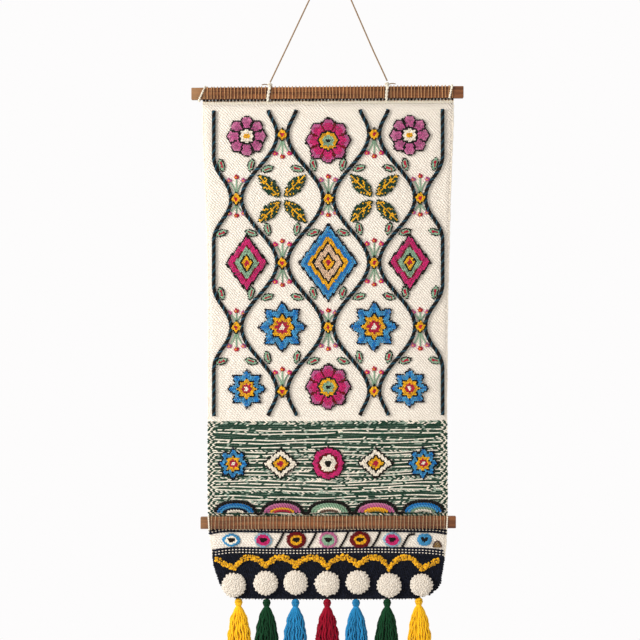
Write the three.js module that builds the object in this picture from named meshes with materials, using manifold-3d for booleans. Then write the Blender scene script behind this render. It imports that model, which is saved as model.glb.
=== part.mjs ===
// Tufted wall hanging: a thick handwoven cloth on two wooden battens, with raised pile motifs,
// a row of pompoms, a row of tassels and a twine to hang it by.
// Millimetres, +Z up, +X to the viewer's right, the face towards -Y. The origin is the middle of
// the nail that the twine goes over.
import * as THREE from "three";
import { mergeVertices } from "three/addons/utils/BufferGeometryUtils.js";
import Module from "manifold-3d";

const GAP = 0.3;

// Battens, square cut. The lower one lies on the face of the cloth.
const BATTEN_TALL = 24;
const BATTEN_DEEP = 12;
const TOP_BATTEN = { left: -280, right: 265, z: -264 };
const LOWER_BATTEN = { left: -261, right: 249, z: -1123.4 };

// The cloth, its two selvedges and its rounded hem. The middle of its thickness is near y = 0.
const CLOTH_THICK = 4;
const CLOTH_MIDDLE = -6;
const CLOTH_COLUMNS = 6;
const CLOTH_ROW_PITCH = 70;
const SELVEDGES = [
  { z: -276, left: -257.5, right: 245.5 },
  { z: -351, left: -256.5, right: 243.5 },
  { z: -479, left: -250.5, right: 238.5 },
  { z: -607, left: -246.5, right: 235.5 },
  { z: -679, left: -245.5, right: 233.5 },
  { z: -879, left: -246.5, right: 231.5 },
  { z: -1079, left: -246.5, right: 232.5 },
  { z: -1139, left: -244.5, right: 231.5 },
  { z: -1179, left: -239.5, right: 229.5 },
  { z: -1213, left: -235, right: 224.5 },
  { z: -1231, left: -229, right: 222 },
  { z: -1247, left: -223.5, right: 219.5 },
  { z: -1259, left: -216, right: 213 },
  { z: -1271, left: -205, right: 197 },
  { z: -1278, left: -190, right: 170 },
];
const HEM = SELVEDGES[SELVEDGES.length - 1].z;

// How far the hanging is out of level: the rise for each millimetre towards +X.
const LEVELS = [
  { z: TOP_BATTEN.z, rise: 0.0066 },
  { z: LOWER_BATTEN.z, rise: 0.0037 },
  { z: HEM, rise: 0 },
];

// Slow waves between the battens, and the corners of the hem, which curl back
const WAVES = [
  { deep: 2.2, across: 410, shift: 0.9, down: 1 },
  { deep: 1.2, across: 260, shift: 2.4, down: 2 },
];
const CORNER_CURL = 9;

// The heading and its threads, which go round the top batten
const THREAD = 2.2;
const THREAD_PITCH = 11.6;
const THREADS = 43;
const THREAD_SINK = 0.6;
const THREAD_SLANTS = [0.5, -0.4, 0.2, 0.9, -0.7, 0, 0.6];
const HEADING_TALL = 9;
const LACING_STRIP = { tall: 3.5, thick: 1.8 };

// The two ties and the twine. foot is where a tie goes under the batten, lean how far its top is off.
const TIE_THICK = 5;
const TIE_KNOT = 9;
const TIE_STEPS = 16;
const TIE_SIDES = 6;
const TIE_ROOM = 6.4;
const TIES = [
  { name: "tie_left", foot: -127.5, lean: 5, tail: -1 },
  { name: "tie_right", foot: 110, lean: 2.5, tail: 1 },
];
const TAIL = { long: 12, thick: 2.4 };
const TWINE_THICK = 2.5;
const TWINE_SIDES = 8;
const TWINE_STEPS = 76;
const TWINE_ROUTE = [
  { x: -122.3, z: -241.6 },
  { x: -106, z: -207.5 },
  { x: -90, z: -174.2 },
  { x: -67, z: -125.8 },
  { x: -45, z: -79.4 },
  { x: -10, z: -5.8 },
  { x: -6.2, z: 1.2 },
  { x: -4, z: 4.6 },
  { x: 0, z: 6.1 },
  { x: 4, z: 4.5 },
  { x: 6, z: 1.2 },
  { x: 9.5, z: -6.2 },
  { x: 42, z: -82 },
  { x: 63, z: -130.3 },
  { x: 84, z: -178.6 },
  { x: 98, z: -209 },
  { x: 112.3, z: -240.1 },
];

// Raised pile: a lattice of thick couched cords with a motif in each of its cells
const PILE = 6;
const PILE_INSET = 0.8;
const BURIED = 1.2;
const LATTICE = { pitch: 92, swing: 37, repeat: 257, middle: -604, top: -298, bottom: -910, reach: 229 };
const LATTICE_CORDS = 6;
const LATTICE_STEPS = 16;
const CORD_RIDGE = { wide: 9, high: 6 };
const JOINT = 25;

// Outlines of the motifs as distances from the middle, set out evenly round it
const OUTLINES = {
  rosette: { times: 8, radii: [1, 0.86] },
  star: { times: 8, radii: [1, 0.7] },
  diamond: { times: 4, radii: [1] },
  leaf: { times: 2, radii: [1, 1.15, 1.15] },
  oval: { times: 8, radii: [1] },
  octagon: { times: 8, radii: [1] },
};

// from: distance from the cloth's middle, repeated on its other side where it isn't zero
const MOTIFS = [
  { outline: "rosette", from: 0, z: -360, wide: 94, tall: 94 },
  { outline: "diamond", from: 0, z: -604, wide: 122, tall: 160 },
  { outline: "rosette", from: 0, z: -853, wide: 94, tall: 94 },
  { outline: "star", from: 92, z: -732.5, wide: 100, tall: 104 },
  { outline: "rosette", from: 163, z: -350, wide: 84, tall: 84 },
  { outline: "diamond", from: 163, z: -604, wide: 88, tall: 118 },
  { outline: "star", from: 163, z: -856, wide: 80, tall: 84 },
  { outline: "octagon", from: 0, z: -1006, wide: 70, tall: 70 },
  { outline: "diamond", from: 95, z: -1006, wide: 76, tall: 64 },
  { outline: "star", from: 190, z: -1006, wide: 66, tall: 68 },
];
const LEAF_CROSS = { from: 92, z: -475.5, ring: 36, long: 64, wide: 29 };

// Rounds between the two sets of stripes under the lower batten
const ROUNDS = [
  { x: -200, wide: 38, tall: 26 },
  { x: -136, wide: 40, tall: 30 },
  { x: -70, wide: 42, tall: 34 },
  { x: -6, wide: 40, tall: 34 },
  { x: 58, wide: 46, tall: 34 },
  { x: 122, wide: 38, tall: 30 },
  { x: 187, wide: 34, tall: 28 },
];
const ROUNDS_Z = -1159;

// Arches along the top of the lower batten
const ARCHES = { from: -192, pitch: 94, count: 5, half: 38, foot: -1103, rise: 21, steps: 6 };

// Pompoms, with the scallops that run over them, and tassels
const POMPOM = { across: 51, deep: 17, sides: 16, lobes: 8, lobe: 0.05 };
const POMPOM_PROFILE = [
  { out: 0.86, up: 0 },
  { out: 1, up: 0.28 },
  { out: 0.84, up: 0.72 },
  { out: 0.46, up: 0.96 },
];
const POMPOMS = [
  { x: -194.8, z: -1249.4, size: 1 },
  { x: -131, z: -1245, size: 1 },
  { x: -71.2, z: -1244, size: 1 },
  { x: -7.8, z: -1246.2, size: 1.02 },
  { x: 53.4, z: -1243.4, size: 0.98 },
  { x: 115.8, z: -1249.6, size: 1 },
  { x: 180.4, z: -1249.6, size: 0.94 },
];
const SCALLOP = { wide: 11, high: 7, crest: -1194, lift: 8, flatten: 0.8, end: 36, endRise: 18, steps: 6 };
const TASSELS = [
  { x: -186, colour: "mustard", lean: 3 },
  { x: -129.4, colour: "green", lean: 0 },
  { x: -71.6, colour: "blue", lean: -2 },
  { x: -8, colour: "crimson", lean: 1 },
  { x: 49.8, colour: "blue", lean: 1 },
  { x: 112.4, colour: "green", lean: -3 },
  { x: 176.2, colour: "mustard", lean: 2 },
];
const TASSEL = { head: 16, headTall: 18, long: 131, wide: 46, deep: 20 };
const HEAD_SIDES = 8;
const HEAD_PROFILE = [
  { out: 0.6, down: 0.05 },
  { out: 1, down: 0.36 },
  { out: 0.94, down: 0.68 },
  { out: 0.72, down: 0.92 },
  { out: 0.82, down: 1.12 },
];
const LOCK_THICK = 6.2;
const LOCK_ROOT = TASSEL.headTall * 0.8;
const LOCKS_IN_ROW = 7;
const LOCK_ROWS = [
  { back: -0.5, reach: 0.84 },
  { back: 0, reach: 1 },
  { back: 0.5, reach: 0.84 },
];
const LOCK_STATIONS = [
  { down: 0, out: 0.2, thick: 0.3 },
  { down: 0.3, out: 0.8, thick: 0.8 },
  { down: 1, out: 1, thick: 0.9 },
];
const LOCK_UNEVEN = [0, -4, 3, -2, 5, -3, 1, -5, 2, 4, -1];

const COLOURS = {
  cream: 0xe9dfcc,
  twine: 0xa98f6f,
  wood: 0xa5673a,
  mustard: 0xe9ae14,
  green: 0x14492b,
  blue: 0x2f9bd8,
  crimson: 0xb00f35,
};

const wasm = await Module();
wasm.setup();

// Value of a column at a height, read between the rows of a table that runs downwards
function between(rows, z, column) {
  const below = Math.max(1, rows.findIndex((row) => row.z <= z));
  const last = rows.at(-1);
  const [high, low] = z <= last.z ? [rows.at(-2), last] : [rows[below - 1], rows[below]];
  const share = THREE.MathUtils.clamp((high.z - z) / (high.z - low.z), 0, 1);
  return THREE.MathUtils.lerp(high[column], low[column], share);
}

function outOfLevel(x, z) {
  return z + x * between(LEVELS, z, "rise");
}

// Depth of the middle of the cloth at a place
function clothY(x, z) {
  const down = THREE.MathUtils.clamp((TOP_BATTEN.z - z) / (TOP_BATTEN.z - LOWER_BATTEN.z), 0, 1);
  let y = 0;
  for (const wave of WAVES) {
    const across = Math.cos((2 * Math.PI * x) / wave.across + wave.shift);
    y += wave.deep * across * Math.sin(Math.PI * down) * Math.sin(wave.down * Math.PI * down);
  }
  const half = (between(SELVEDGES, z, "right") - between(SELVEDGES, z, "left")) / 2;
  const side = Math.abs(x - CLOTH_MIDDLE) / half;
  const past = Math.max(0, (LOWER_BATTEN.z - BATTEN_TALL - z) / (LOWER_BATTEN.z - BATTEN_TALL - HEM));
  return y + CORNER_CURL * past * side ** 4;
}

function faceY(x, z) {
  return clothY(x, z) - CLOTH_THICK / 2;
}

function geometryOf(points, triangles) {
  const geometry = new THREE.BufferGeometry();
  geometry.setAttribute("position", new THREE.Float32BufferAttribute(points.flat(), 3));
  geometry.setIndex(triangles.flat());
  return geometry;
}

function solidOf(geometry) {
  const bare = geometry.clone();
  bare.deleteAttribute("normal");
  bare.deleteAttribute("uv");
  const merged = mergeVertices(bare, 1e-3);
  return new wasm.Manifold(new wasm.Mesh({
    numProp: 3,
    vertProperties: new Float32Array(merged.attributes.position.array),
    triVerts: new Uint32Array(merged.index.array),
  }));
}

function joined(geometries) {
  let solid = solidOf(geometries[0]);
  for (const geometry of geometries.slice(1)) {
    solid = solid.add(solidOf(geometry));
  }
  return solid;
}

function shapeOf(solid) {
  const mesh = solid.getMesh();
  const geometry = new THREE.BufferGeometry();
  geometry.setAttribute("position", new THREE.Float32BufferAttribute(mesh.vertProperties, 3));
  geometry.setIndex(Array.from(mesh.triVerts));
  return geometry;
}

// Two triangles for each side of each step from ring to ring. The points of a ring run
// anticlockwise as seen from the ring after it.
function skin(rings, sides) {
  const triangles = [];
  for (let step = 0; step < rings - 1; step += 1) {
    for (let side = 0; side < sides; side += 1) {
      const next = (side + 1) % sides;
      const [a, b] = [step * sides + side, step * sides + next];
      triangles.push([a, b, a + sides], [b, b + sides, a + sides]);
    }
  }
  return triangles;
}

// A closed body over rings of points. Each end closes on its middle point, or flat without one.
function closedBody(rings, middles = null) {
  const sides = rings[0].length;
  const points = rings.flat();
  const triangles = skin(rings.length, sides);
  const last = points.length - sides;
  if (middles) {
    const end = points.push(...middles) - 1;
    for (let side = 0; side < sides; side += 1) {
      const next = (side + 1) % sides;
      triangles.push([end - 1, next, side], [end, last + side, last + next]);
    }
    return geometryOf(points, triangles);
  }
  for (let side = 1; side < sides - 1; side += 1) {
    triangles.push([0, side + 1, side], [last, last + side, last + side + 1]);
  }
  return geometryOf(points, triangles);
}

// The cloth between its selvedges, from the top edge to the hem
function clothSheet(top) {
  const levels = [];
  const rows = [{ ...SELVEDGES[0], z: top }, ...SELVEDGES.slice(1)];
  for (let index = 1; index < rows.length; index += 1) {
    const tall = rows[index - 1].z - rows[index].z;
    const steps = Math.ceil(tall / CLOTH_ROW_PITCH);
    for (let step = 0; step < steps; step += 1) {
      levels.push(rows[index - 1].z - (tall * step) / steps);
    }
  }
  levels.push(HEM);
  const points = [];
  for (const side of [-1, 1]) {
    for (const z of levels) {
      for (let column = 0; column <= CLOTH_COLUMNS; column += 1) {
        const share = column / CLOTH_COLUMNS;
        const x = THREE.MathUtils.lerp(between(SELVEDGES, z, "left"), between(SELVEDGES, z, "right"), share);
        points.push([x, clothY(x, z) + (side * CLOTH_THICK) / 2, z]);
      }
    }
  }
  const wide = CLOTH_COLUMNS + 1;
  const back = levels.length * wide;
  const triangles = [];
  for (let row = 0; row < levels.length - 1; row += 1) {
    for (let column = 0; column < CLOTH_COLUMNS; column += 1) {
      const a = row * wide + column;
      const b = a + wide;
      triangles.push([a, b, a + 1], [a + 1, b, b + 1]);
      triangles.push([back + a, back + a + 1, back + b], [back + a + 1, back + b + 1, back + b]);
    }
  }
  for (let row = 0; row < levels.length - 1; row += 1) {
    const left = row * wide;
    const right = left + CLOTH_COLUMNS;
    triangles.push([left, back + left, left + wide], [left + wide, back + left, back + left + wide]);
    triangles.push([right, right + wide, back + right], [right + wide, back + right + wide, back + right]);
  }
  const hem = (levels.length - 1) * wide;
  for (let column = 0; column < CLOTH_COLUMNS; column += 1) {
    triangles.push([column, column + 1, back + column], [column + 1, back + column + 1, back + column]);
    const a = hem + column;
    triangles.push([a, back + a, a + 1], [a + 1, back + a, back + a + 1]);
  }
  return geometryOf(points, triangles);
}

// A raised patch of pile, which follows the cloth
function patch({ outline, x, z, wide, tall, turn = 0 }) {
  const { times, radii } = OUTLINES[outline];
  const sides = times * radii.length;
  const levels = [{ inset: 1, lift: -BURIED }, { inset: PILE_INSET, lift: PILE }];
  const rings = levels.map(({ inset, lift }) => {
    const ring = [];
    for (let side = 0; side < sides; side += 1) {
      const angle = (2 * Math.PI * side) / sides;
      const out = (radii[side % radii.length] * inset) / 2;
      const [u, v] = [out * wide * Math.cos(angle), out * tall * Math.sin(angle)];
      const px = x + u * Math.cos(turn) - v * Math.sin(turn);
      const pz = z + u * Math.sin(turn) + v * Math.cos(turn);
      ring.push([px, faceY(px, pz) - lift, pz]);
    }
    return ring;
  });
  return closedBody(rings, levels.map(({ lift }) => [x, faceY(x, z) - lift, z]));
}

// A raised cord along a line on the cloth: three sides, its root in the cloth
function ridge(line, { wide, high }) {
  return closedBody(line.map(([x, z], index) => {
    const [fromX, fromZ] = line[Math.max(0, index - 1)];
    const [toX, toZ] = line[Math.min(line.length - 1, index + 1)];
    const share = wide / 2 / Math.hypot(toX - fromX, toZ - fromZ);
    const [sideX, sideZ] = [(fromZ - toZ) * share, (toX - fromX) * share];
    return [
      [x + sideX, faceY(x + sideX, z + sideZ) + BURIED, z + sideZ],
      [x, faceY(x, z) - high, z],
      [x - sideX, faceY(x - sideX, z - sideZ) + BURIED, z - sideZ],
    ];
  }));
}

// The cords of the lattice swing to and fro, each against its neighbours
function latticeLines() {
  const lines = [];
  for (let cord = 0; cord < LATTICE_CORDS; cord += 1) {
    const rest = (cord - (LATTICE_CORDS - 1) / 2) * LATTICE.pitch;
    const way = cord % 2 === 0 ? -1 : 1;
    const line = [];
    for (let step = 0; step <= LATTICE_STEPS; step += 1) {
      const z = THREE.MathUtils.lerp(LATTICE.top, LATTICE.bottom, step / LATTICE_STEPS);
      const phase = (2 * Math.PI * (z - LATTICE.middle)) / LATTICE.repeat;
      const out = rest + way * LATTICE.swing * Math.cos(phase);
      line.push([CLOTH_MIDDLE + THREE.MathUtils.clamp(out, -LATTICE.reach, LATTICE.reach), z]);
    }
    lines.push(line);
  }
  return lines;
}

// A small patch where two neighbouring cords come together
function jointPatches() {
  const patches = [];
  for (let column = -2; column <= 2; column += 1) {
    const odd = Math.abs(column) % 2 === 1;
    for (let row = -1; row <= 1; row += 1) {
      const z = LATTICE.middle + (row + (odd ? 0 : 0.5)) * LATTICE.repeat;
      if (z < LATTICE.top && z > LATTICE.bottom) {
        const x = CLOTH_MIDDLE + column * LATTICE.pitch;
        patches.push(patch({ outline: "diamond", x, z, wide: JOINT, tall: JOINT }));
      }
    }
  }
  return patches;
}

function motifPatches() {
  const patches = [];
  for (const { from, ...motif } of MOTIFS) {
    for (const side of from === 0 ? [1] : [-1, 1]) {
      patches.push(patch({ ...motif, x: CLOTH_MIDDLE + side * from }));
    }
  }
  for (const side of [-1, 1]) {
    for (let leaf = 0; leaf < 4; leaf += 1) {
      const turn = Math.PI / 4 + (leaf * Math.PI) / 2;
      patches.push(patch({
        outline: "leaf",
        x: CLOTH_MIDDLE + side * LEAF_CROSS.from + LEAF_CROSS.ring * Math.cos(turn),
        z: LEAF_CROSS.z + LEAF_CROSS.ring * Math.sin(turn),
        wide: LEAF_CROSS.long,
        tall: LEAF_CROSS.wide,
        turn,
      }));
    }
  }
  for (const round of ROUNDS) {
    patches.push(patch({ outline: "oval", z: ROUNDS_Z, ...round }));
  }
  return patches;
}

function archLines() {
  const lines = [];
  for (let arch = 0; arch < ARCHES.count; arch += 1) {
    const middle = ARCHES.from + arch * ARCHES.pitch;
    const line = [];
    for (let step = 0; step <= ARCHES.steps; step += 1) {
      const angle = Math.PI * (1 - step / ARCHES.steps);
      line.push([middle + ARCHES.half * Math.cos(angle), ARCHES.foot + ARCHES.rise * Math.sin(angle)]);
    }
    lines.push(line);
  }
  return lines;
}

// One line of scallops: a valley over each pompom and a crest between two
function scallopLine() {
  const valley = (pompom) => [pompom.x, pompom.z + (POMPOM.across * pompom.size) / 2 + SCALLOP.lift];
  const first = valley(POMPOMS[0]);
  const last = valley(POMPOMS.at(-1));
  const line = [[first[0] - SCALLOP.end, first[1] + SCALLOP.endRise], first];
  for (let index = 1; index < POMPOMS.length; index += 1) {
    const [fromX, fromZ] = valley(POMPOMS[index - 1]);
    const [toX, toZ] = valley(POMPOMS[index]);
    for (let step = 1; step < SCALLOP.steps; step += 1) {
      const share = step / SCALLOP.steps;
      const foot = THREE.MathUtils.lerp(fromZ, toZ, share);
      line.push([THREE.MathUtils.lerp(fromX, toX, share),
        foot + (SCALLOP.crest - foot) * Math.sin(Math.PI * share) ** SCALLOP.flatten]);
    }
    line.push([toX, toZ]);
  }
  line.push([last[0] + SCALLOP.end, last[1] + SCALLOP.endRise]);
  return line;
}

function cloth() {
  const top = TOP_BATTEN.z - BATTEN_TALL / 2 - GAP - HEADING_TALL - GAP;
  return shapeOf(joined([
    clothSheet(top),
    ...latticeLines().map((line) => ridge(line, CORD_RIDGE)),
    ...jointPatches(),
    ...motifPatches(),
    ...archLines().map((line) => ridge(line, CORD_RIDGE)),
    ridge(scallopLine(), SCALLOP),
  ]));
}

function batten({ left, right, z }, y) {
  return new THREE.BoxGeometry(right - left, BATTEN_DEEP, BATTEN_TALL)
    .translate((left + right) / 2, y, z);
}

function block(left, right, front, back, bottom, top) {
  return new THREE.BoxGeometry(right - left, back - front, top - bottom)
    .translate((left + right) / 2, (front + back) / 2, (bottom + top) / 2);
}

// Where the threads stand along a batten; a tie takes the place of one thread
function threadPlaces(left, right, keepOff) {
  const places = [];
  const pitch = (right - left - THREAD_PITCH) / (THREADS - 1);
  for (let index = 0; index < THREADS; index += 1) {
    const x = left + THREAD_PITCH / 2 + index * pitch;
    if (keepOff.every((other) => Math.abs(other - x) > TIE_ROOM)) {
      places.push({ x, slant: THREAD_SLANTS[index % THREAD_SLANTS.length] });
    }
  }
  return places;
}

// An outline in depth and height, made one thread wide, its top leaning to one side
function thread(outline, hole, x, z, slant) {
  const shape = new THREE.Shape(outline.map(([y, up]) => new THREE.Vector2(y, up)));
  if (hole) {
    shape.holes.push(new THREE.Path(hole.map(([y, up]) => new THREE.Vector2(y, up))));
  }
  const geometry = new THREE.ExtrudeGeometry(shape, { depth: THREAD, bevelEnabled: false });
  const position = geometry.attributes.position;
  for (let index = 0; index < position.count; index += 1) {
    const [y, up, across] = [position.getX(index), position.getY(index), position.getZ(index)];
    position.setXYZ(index, x + across - THREAD / 2 + (slant * up) / BATTEN_TALL, y, z + up);
  }
  return geometry;
}

function rectangle(deep, tall) {
  return [[-deep, -tall], [deep, -tall], [deep, tall], [-deep, tall]];
}

// Threads right round the top batten, rooted in the strip along the top of the cloth
function topHeading() {
  const under = TOP_BATTEN.z - BATTEN_TALL / 2 - GAP;
  const left = between(SELVEDGES, under, "left");
  const right = between(SELVEDGES, under, "right");
  const strip = block(left, right, -CLOTH_THICK / 2, CLOTH_THICK / 2,
    under - HEADING_TALL, under - THREAD_SINK);
  const [deep, tall] = [BATTEN_DEEP / 2 + GAP, BATTEN_TALL / 2 + GAP];
  const loops = threadPlaces(left, right, TIES.map((tie) => tie.foot)).map(({ x, slant }) =>
    thread(rectangle(deep + THREAD, tall + THREAD), rectangle(deep, tall), x, TOP_BATTEN.z, slant));
  let solid = joined([strip, ...loops]);
  for (const { foot } of TIES) {
    const half = TIE_THICK / 2 + GAP;
    solid = solid.subtract(solidOf(block(foot - half, foot + half, -BATTEN_DEEP, BATTEN_DEEP,
      under - TIE_THICK - GAP, under + GAP / 2)));
  }
  return shapeOf(solid);
}

// Threads over the front of the lower batten, rooted in a stitched strip above and one below it
function lowerLacing() {
  const left = between(SELVEDGES, LOWER_BATTEN.z, "left");
  const right = between(SELVEDGES, LOWER_BATTEN.z, "right");
  const back = -CLOTH_THICK / 2 - GAP;
  const front = back - BATTEN_DEEP - GAP;
  const tall = BATTEN_TALL / 2 + GAP;
  const over = tall + THREAD;
  const staple = [[back - GAP, -over], [back - GAP, -tall], [front, -tall], [front, tall],
    [back - GAP, tall], [back - GAP, over], [front - THREAD, over], [front - THREAD, -over]];
  const strips = [-1, 1].map((side) => {
    const near = LOWER_BATTEN.z + side * (tall + THREAD_SINK);
    const far = near + side * LACING_STRIP.tall;
    return block(left, right, back - LACING_STRIP.thick, back, Math.min(near, far), Math.max(near, far));
  });
  const threads = threadPlaces(left, right, []).map(({ x, slant }) =>
    thread(staple, null, x, LOWER_BATTEN.z, slant));
  return shapeOf(joined([strips[0], ...threads, strips[1]]));
}

// A ring of thick cord round the top batten, with its knot and the short end of the twine
function tie({ foot, lean, tail }) {
  const [deep, tall] = [(BATTEN_DEEP + TIE_THICK) / 2 + GAP, (BATTEN_TALL + TIE_THICK) / 2 + GAP];
  const leaning = (up) => foot + (lean * (up + tall)) / (2 * tall);
  const points = [];
  for (let step = 0; step < TIE_STEPS; step += 1) {
    const angle = (2 * Math.PI * step) / TIE_STEPS;
    const reach = Math.max(Math.abs(Math.cos(angle)), Math.abs(Math.sin(angle)));
    const [y, up] = [(deep * Math.cos(angle)) / reach, (tall * Math.sin(angle)) / reach];
    for (let side = 0; side < TIE_SIDES; side += 1) {
      const turn = (2 * Math.PI * (side + 0.5)) / TIE_SIDES;
      const out = (TIE_THICK / 2) * Math.cos(turn);
      points.push([leaning(up) - (TIE_THICK / 2) * Math.sin(turn), y + out * Math.cos(angle),
        TOP_BATTEN.z + up + out * Math.sin(angle)]);
    }
  }
  const ring = geometryOf(points, skin(TIE_STEPS + 1, TIE_SIDES)
    .map((corners) => corners.map((corner) => corner % points.length)));
  const start = leaning(tall);
  const knot = new THREE.SphereGeometry(TIE_KNOT / 2, 8, 6)
    .rotateX(Math.PI / 2)
    .translate(start, 0, TOP_BATTEN.z + tall + TIE_THICK / 2);
  const end = start + tail * (TIE_KNOT / 2 + TAIL.long);
  const low = TOP_BATTEN.z + BATTEN_TALL / 2 + GAP + THREAD + GAP;
  const shortEnd = block(Math.min(start, end), Math.max(start, end),
    -TAIL.thick / 2, TAIL.thick / 2, low, low + TAIL.thick);
  return shapeOf(joined([ring, knot, shortEnd]));
}

// The twine, straight up from one knot, over the nail, and straight down to the other
function hangingCord() {
  const route = new THREE.CatmullRomCurve3(TWINE_ROUTE.map(({ x, z }) => new THREE.Vector3(x, 0, z)),
    false, "centripetal");
  const section = new THREE.Shape();
  for (let side = 0; side < TWINE_SIDES; side += 1) {
    const turn = (2 * Math.PI * side) / TWINE_SIDES;
    const [u, v] = [(TWINE_THICK / 2) * Math.cos(turn), (TWINE_THICK / 2) * Math.sin(turn)];
    if (side === 0) {
      section.moveTo(u, v);
    } else {
      section.lineTo(u, v);
    }
  }
  return new THREE.ExtrudeGeometry(section, { steps: TWINE_STEPS, extrudePath: route });
}

// A flattened ball of loops with a lobed rim, its back against the cloth
function pompom({ x, z, size }) {
  const { sides, lobes, lobe, deep } = POMPOM;
  const radius = (POMPOM.across * size) / 2;
  const rim = [0, 1, 2, 3].map((quarter) => {
    const angle = (quarter * Math.PI) / 2;
    return faceY(x + radius * Math.cos(angle), z + radius * Math.sin(angle));
  });
  const back = Math.min(faceY(x, z), ...rim) - GAP;
  const rings = POMPOM_PROFILE.map(({ out, up }) => {
    const ring = [];
    for (let side = 0; side < sides; side += 1) {
      const angle = (2 * Math.PI * side) / sides;
      const reach = out * radius * (1 + lobe * Math.cos(lobes * angle));
      ring.push([x + reach * Math.cos(angle), back - up * deep, z + reach * Math.sin(angle)]);
    }
    return ring;
  });
  return closedBody(rings, [[x, back, z], [x, back - deep, z]]);
}

// The height of the hem's edge at a place along it
function hemAt(x) {
  const [side, way] = x > CLOTH_MIDDLE ? ["right", 1] : ["left", -1];
  const above = SELVEDGES.findLastIndex((row) => row[side] * way >= x * way);
  if (above === SELVEDGES.length - 1) {
    return HEM;
  }
  const [from, to] = [SELVEDGES[above], SELVEDGES[above + 1]];
  return THREE.MathUtils.mapLinear(x, from[side], to[side], from.z, to.z);
}

// One lock of yarn, three-sided, from inside the head to its tip
function lock({ across, back, uneven, lean }) {
  return closedBody(LOCK_STATIONS.map(({ down, out, thick }) => {
    const height = -LOCK_ROOT - (TASSEL.long - LOCK_ROOT + uneven) * down;
    const radius = (LOCK_THICK / 2) * thick;
    return [0, 1, 2].map((side) => {
      const turn = (-2 * Math.PI * side) / 3;
      return [across * out + lean * down + radius * Math.cos(turn),
        back * out + radius * Math.sin(turn), height];
    });
  }));
}

// A wound head under the hem, and three rows of locks that spread from its neck
function tassel({ x, lean }) {
  const head = closedBody(HEAD_PROFILE.map(({ out, down }) => {
    const ring = [];
    for (let side = 0; side < HEAD_SIDES; side += 1) {
      const turn = (-2 * Math.PI * side) / HEAD_SIDES;
      const radius = (out * TASSEL.head) / 2;
      ring.push([radius * Math.cos(turn), radius * Math.sin(turn), -down * TASSEL.headTall]);
    }
    return ring;
  }), [[0, 0, 0], [0, 0, -TASSEL.headTall * HEAD_PROFILE.at(-1).down]]);
  const locks = [];
  for (const { back, reach } of LOCK_ROWS) {
    for (let index = 0; index < LOCKS_IN_ROW; index += 1) {
      const across = reach * (index / (LOCKS_IN_ROW - 1) - 0.5) * TASSEL.wide;
      const uneven = LOCK_UNEVEN[locks.length % LOCK_UNEVEN.length];
      locks.push(lock({ across, back: back * TASSEL.deep, uneven, lean }));
    }
  }
  const hem = hemAt(x);
  return shapeOf(joined([head, ...locks])).translate(x, clothY(x, hem), hem - GAP);
}

const group = new THREE.Group();

// Adds a piece under its name, put as far out of level as the hanging is where it sits
function add(name, colour, geometry, roughness = 0.95) {
  const position = geometry.attributes.position;
  for (let index = 0; index < position.count; index += 1) {
    position.setZ(index, outOfLevel(position.getX(index), position.getZ(index)));
  }
  const material = new THREE.MeshStandardMaterial({ color: COLOURS[colour], roughness, metalness: 0 });
  const mesh = new THREE.Mesh(geometry, material);
  mesh.name = name;
  group.add(mesh);
}

const WOOD_ROUGHNESS = 0.6;
add("top_batten", "wood", batten(TOP_BATTEN, 0), WOOD_ROUGHNESS);
add("lower_batten", "wood", batten(LOWER_BATTEN, -CLOTH_THICK / 2 - GAP - BATTEN_DEEP / 2), WOOD_ROUGHNESS);
add("cloth_panel", "cream", cloth());
add("top_heading", "cream", topHeading());
add("lower_lacing", "cream", lowerLacing());
for (const each of TIES) {
  add(each.name, "cream", tie(each));
}
add("hanging_cord", "twine", hangingCord());
POMPOMS.forEach((each, index) => add(`pompom_${index + 1}`, "cream", pompom(each)));
TASSELS.forEach((each, index) => add(`tassel_${index + 1}`, each.colour, tassel(each)));

export default group;
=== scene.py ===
import math

import bpy
import numpy as np
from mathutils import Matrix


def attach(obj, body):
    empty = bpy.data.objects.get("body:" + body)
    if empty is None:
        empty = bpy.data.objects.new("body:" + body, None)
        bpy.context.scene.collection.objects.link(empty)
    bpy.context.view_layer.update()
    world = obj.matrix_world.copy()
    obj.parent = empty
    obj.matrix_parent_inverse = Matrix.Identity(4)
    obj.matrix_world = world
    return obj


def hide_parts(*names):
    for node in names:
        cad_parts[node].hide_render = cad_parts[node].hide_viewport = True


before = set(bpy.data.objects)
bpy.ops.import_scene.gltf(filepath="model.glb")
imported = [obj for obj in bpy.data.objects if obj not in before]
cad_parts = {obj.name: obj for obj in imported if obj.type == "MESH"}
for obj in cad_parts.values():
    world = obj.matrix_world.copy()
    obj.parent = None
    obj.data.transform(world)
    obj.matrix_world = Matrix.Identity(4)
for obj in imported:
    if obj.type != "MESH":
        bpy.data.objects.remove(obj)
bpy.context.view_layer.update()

# The tufted wall hanging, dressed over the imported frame. Lengths below are in millimetres in the
# frame of the CAD, and become metres in the last step of each piece.
MM = 0.001

# Sizes repeated from the part's source
CLOTH_THICK = 4
CLOTH_MIDDLE = -6
GAP = 0.3
TOP_BATTEN = {"left": -280, "right": 265, "z": -264, "y": 0}
LOWER_BATTEN = {"left": -261, "right": 249, "z": -1123.4, "y": -8.3}
BATTEN_TALL = 24
BATTEN_DEEP = 12
CLOTH_TOP = -285.6
HEM = -1278
# Height at which the rounded corners of the hem begin
ROUNDED_FROM = -1200
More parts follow.
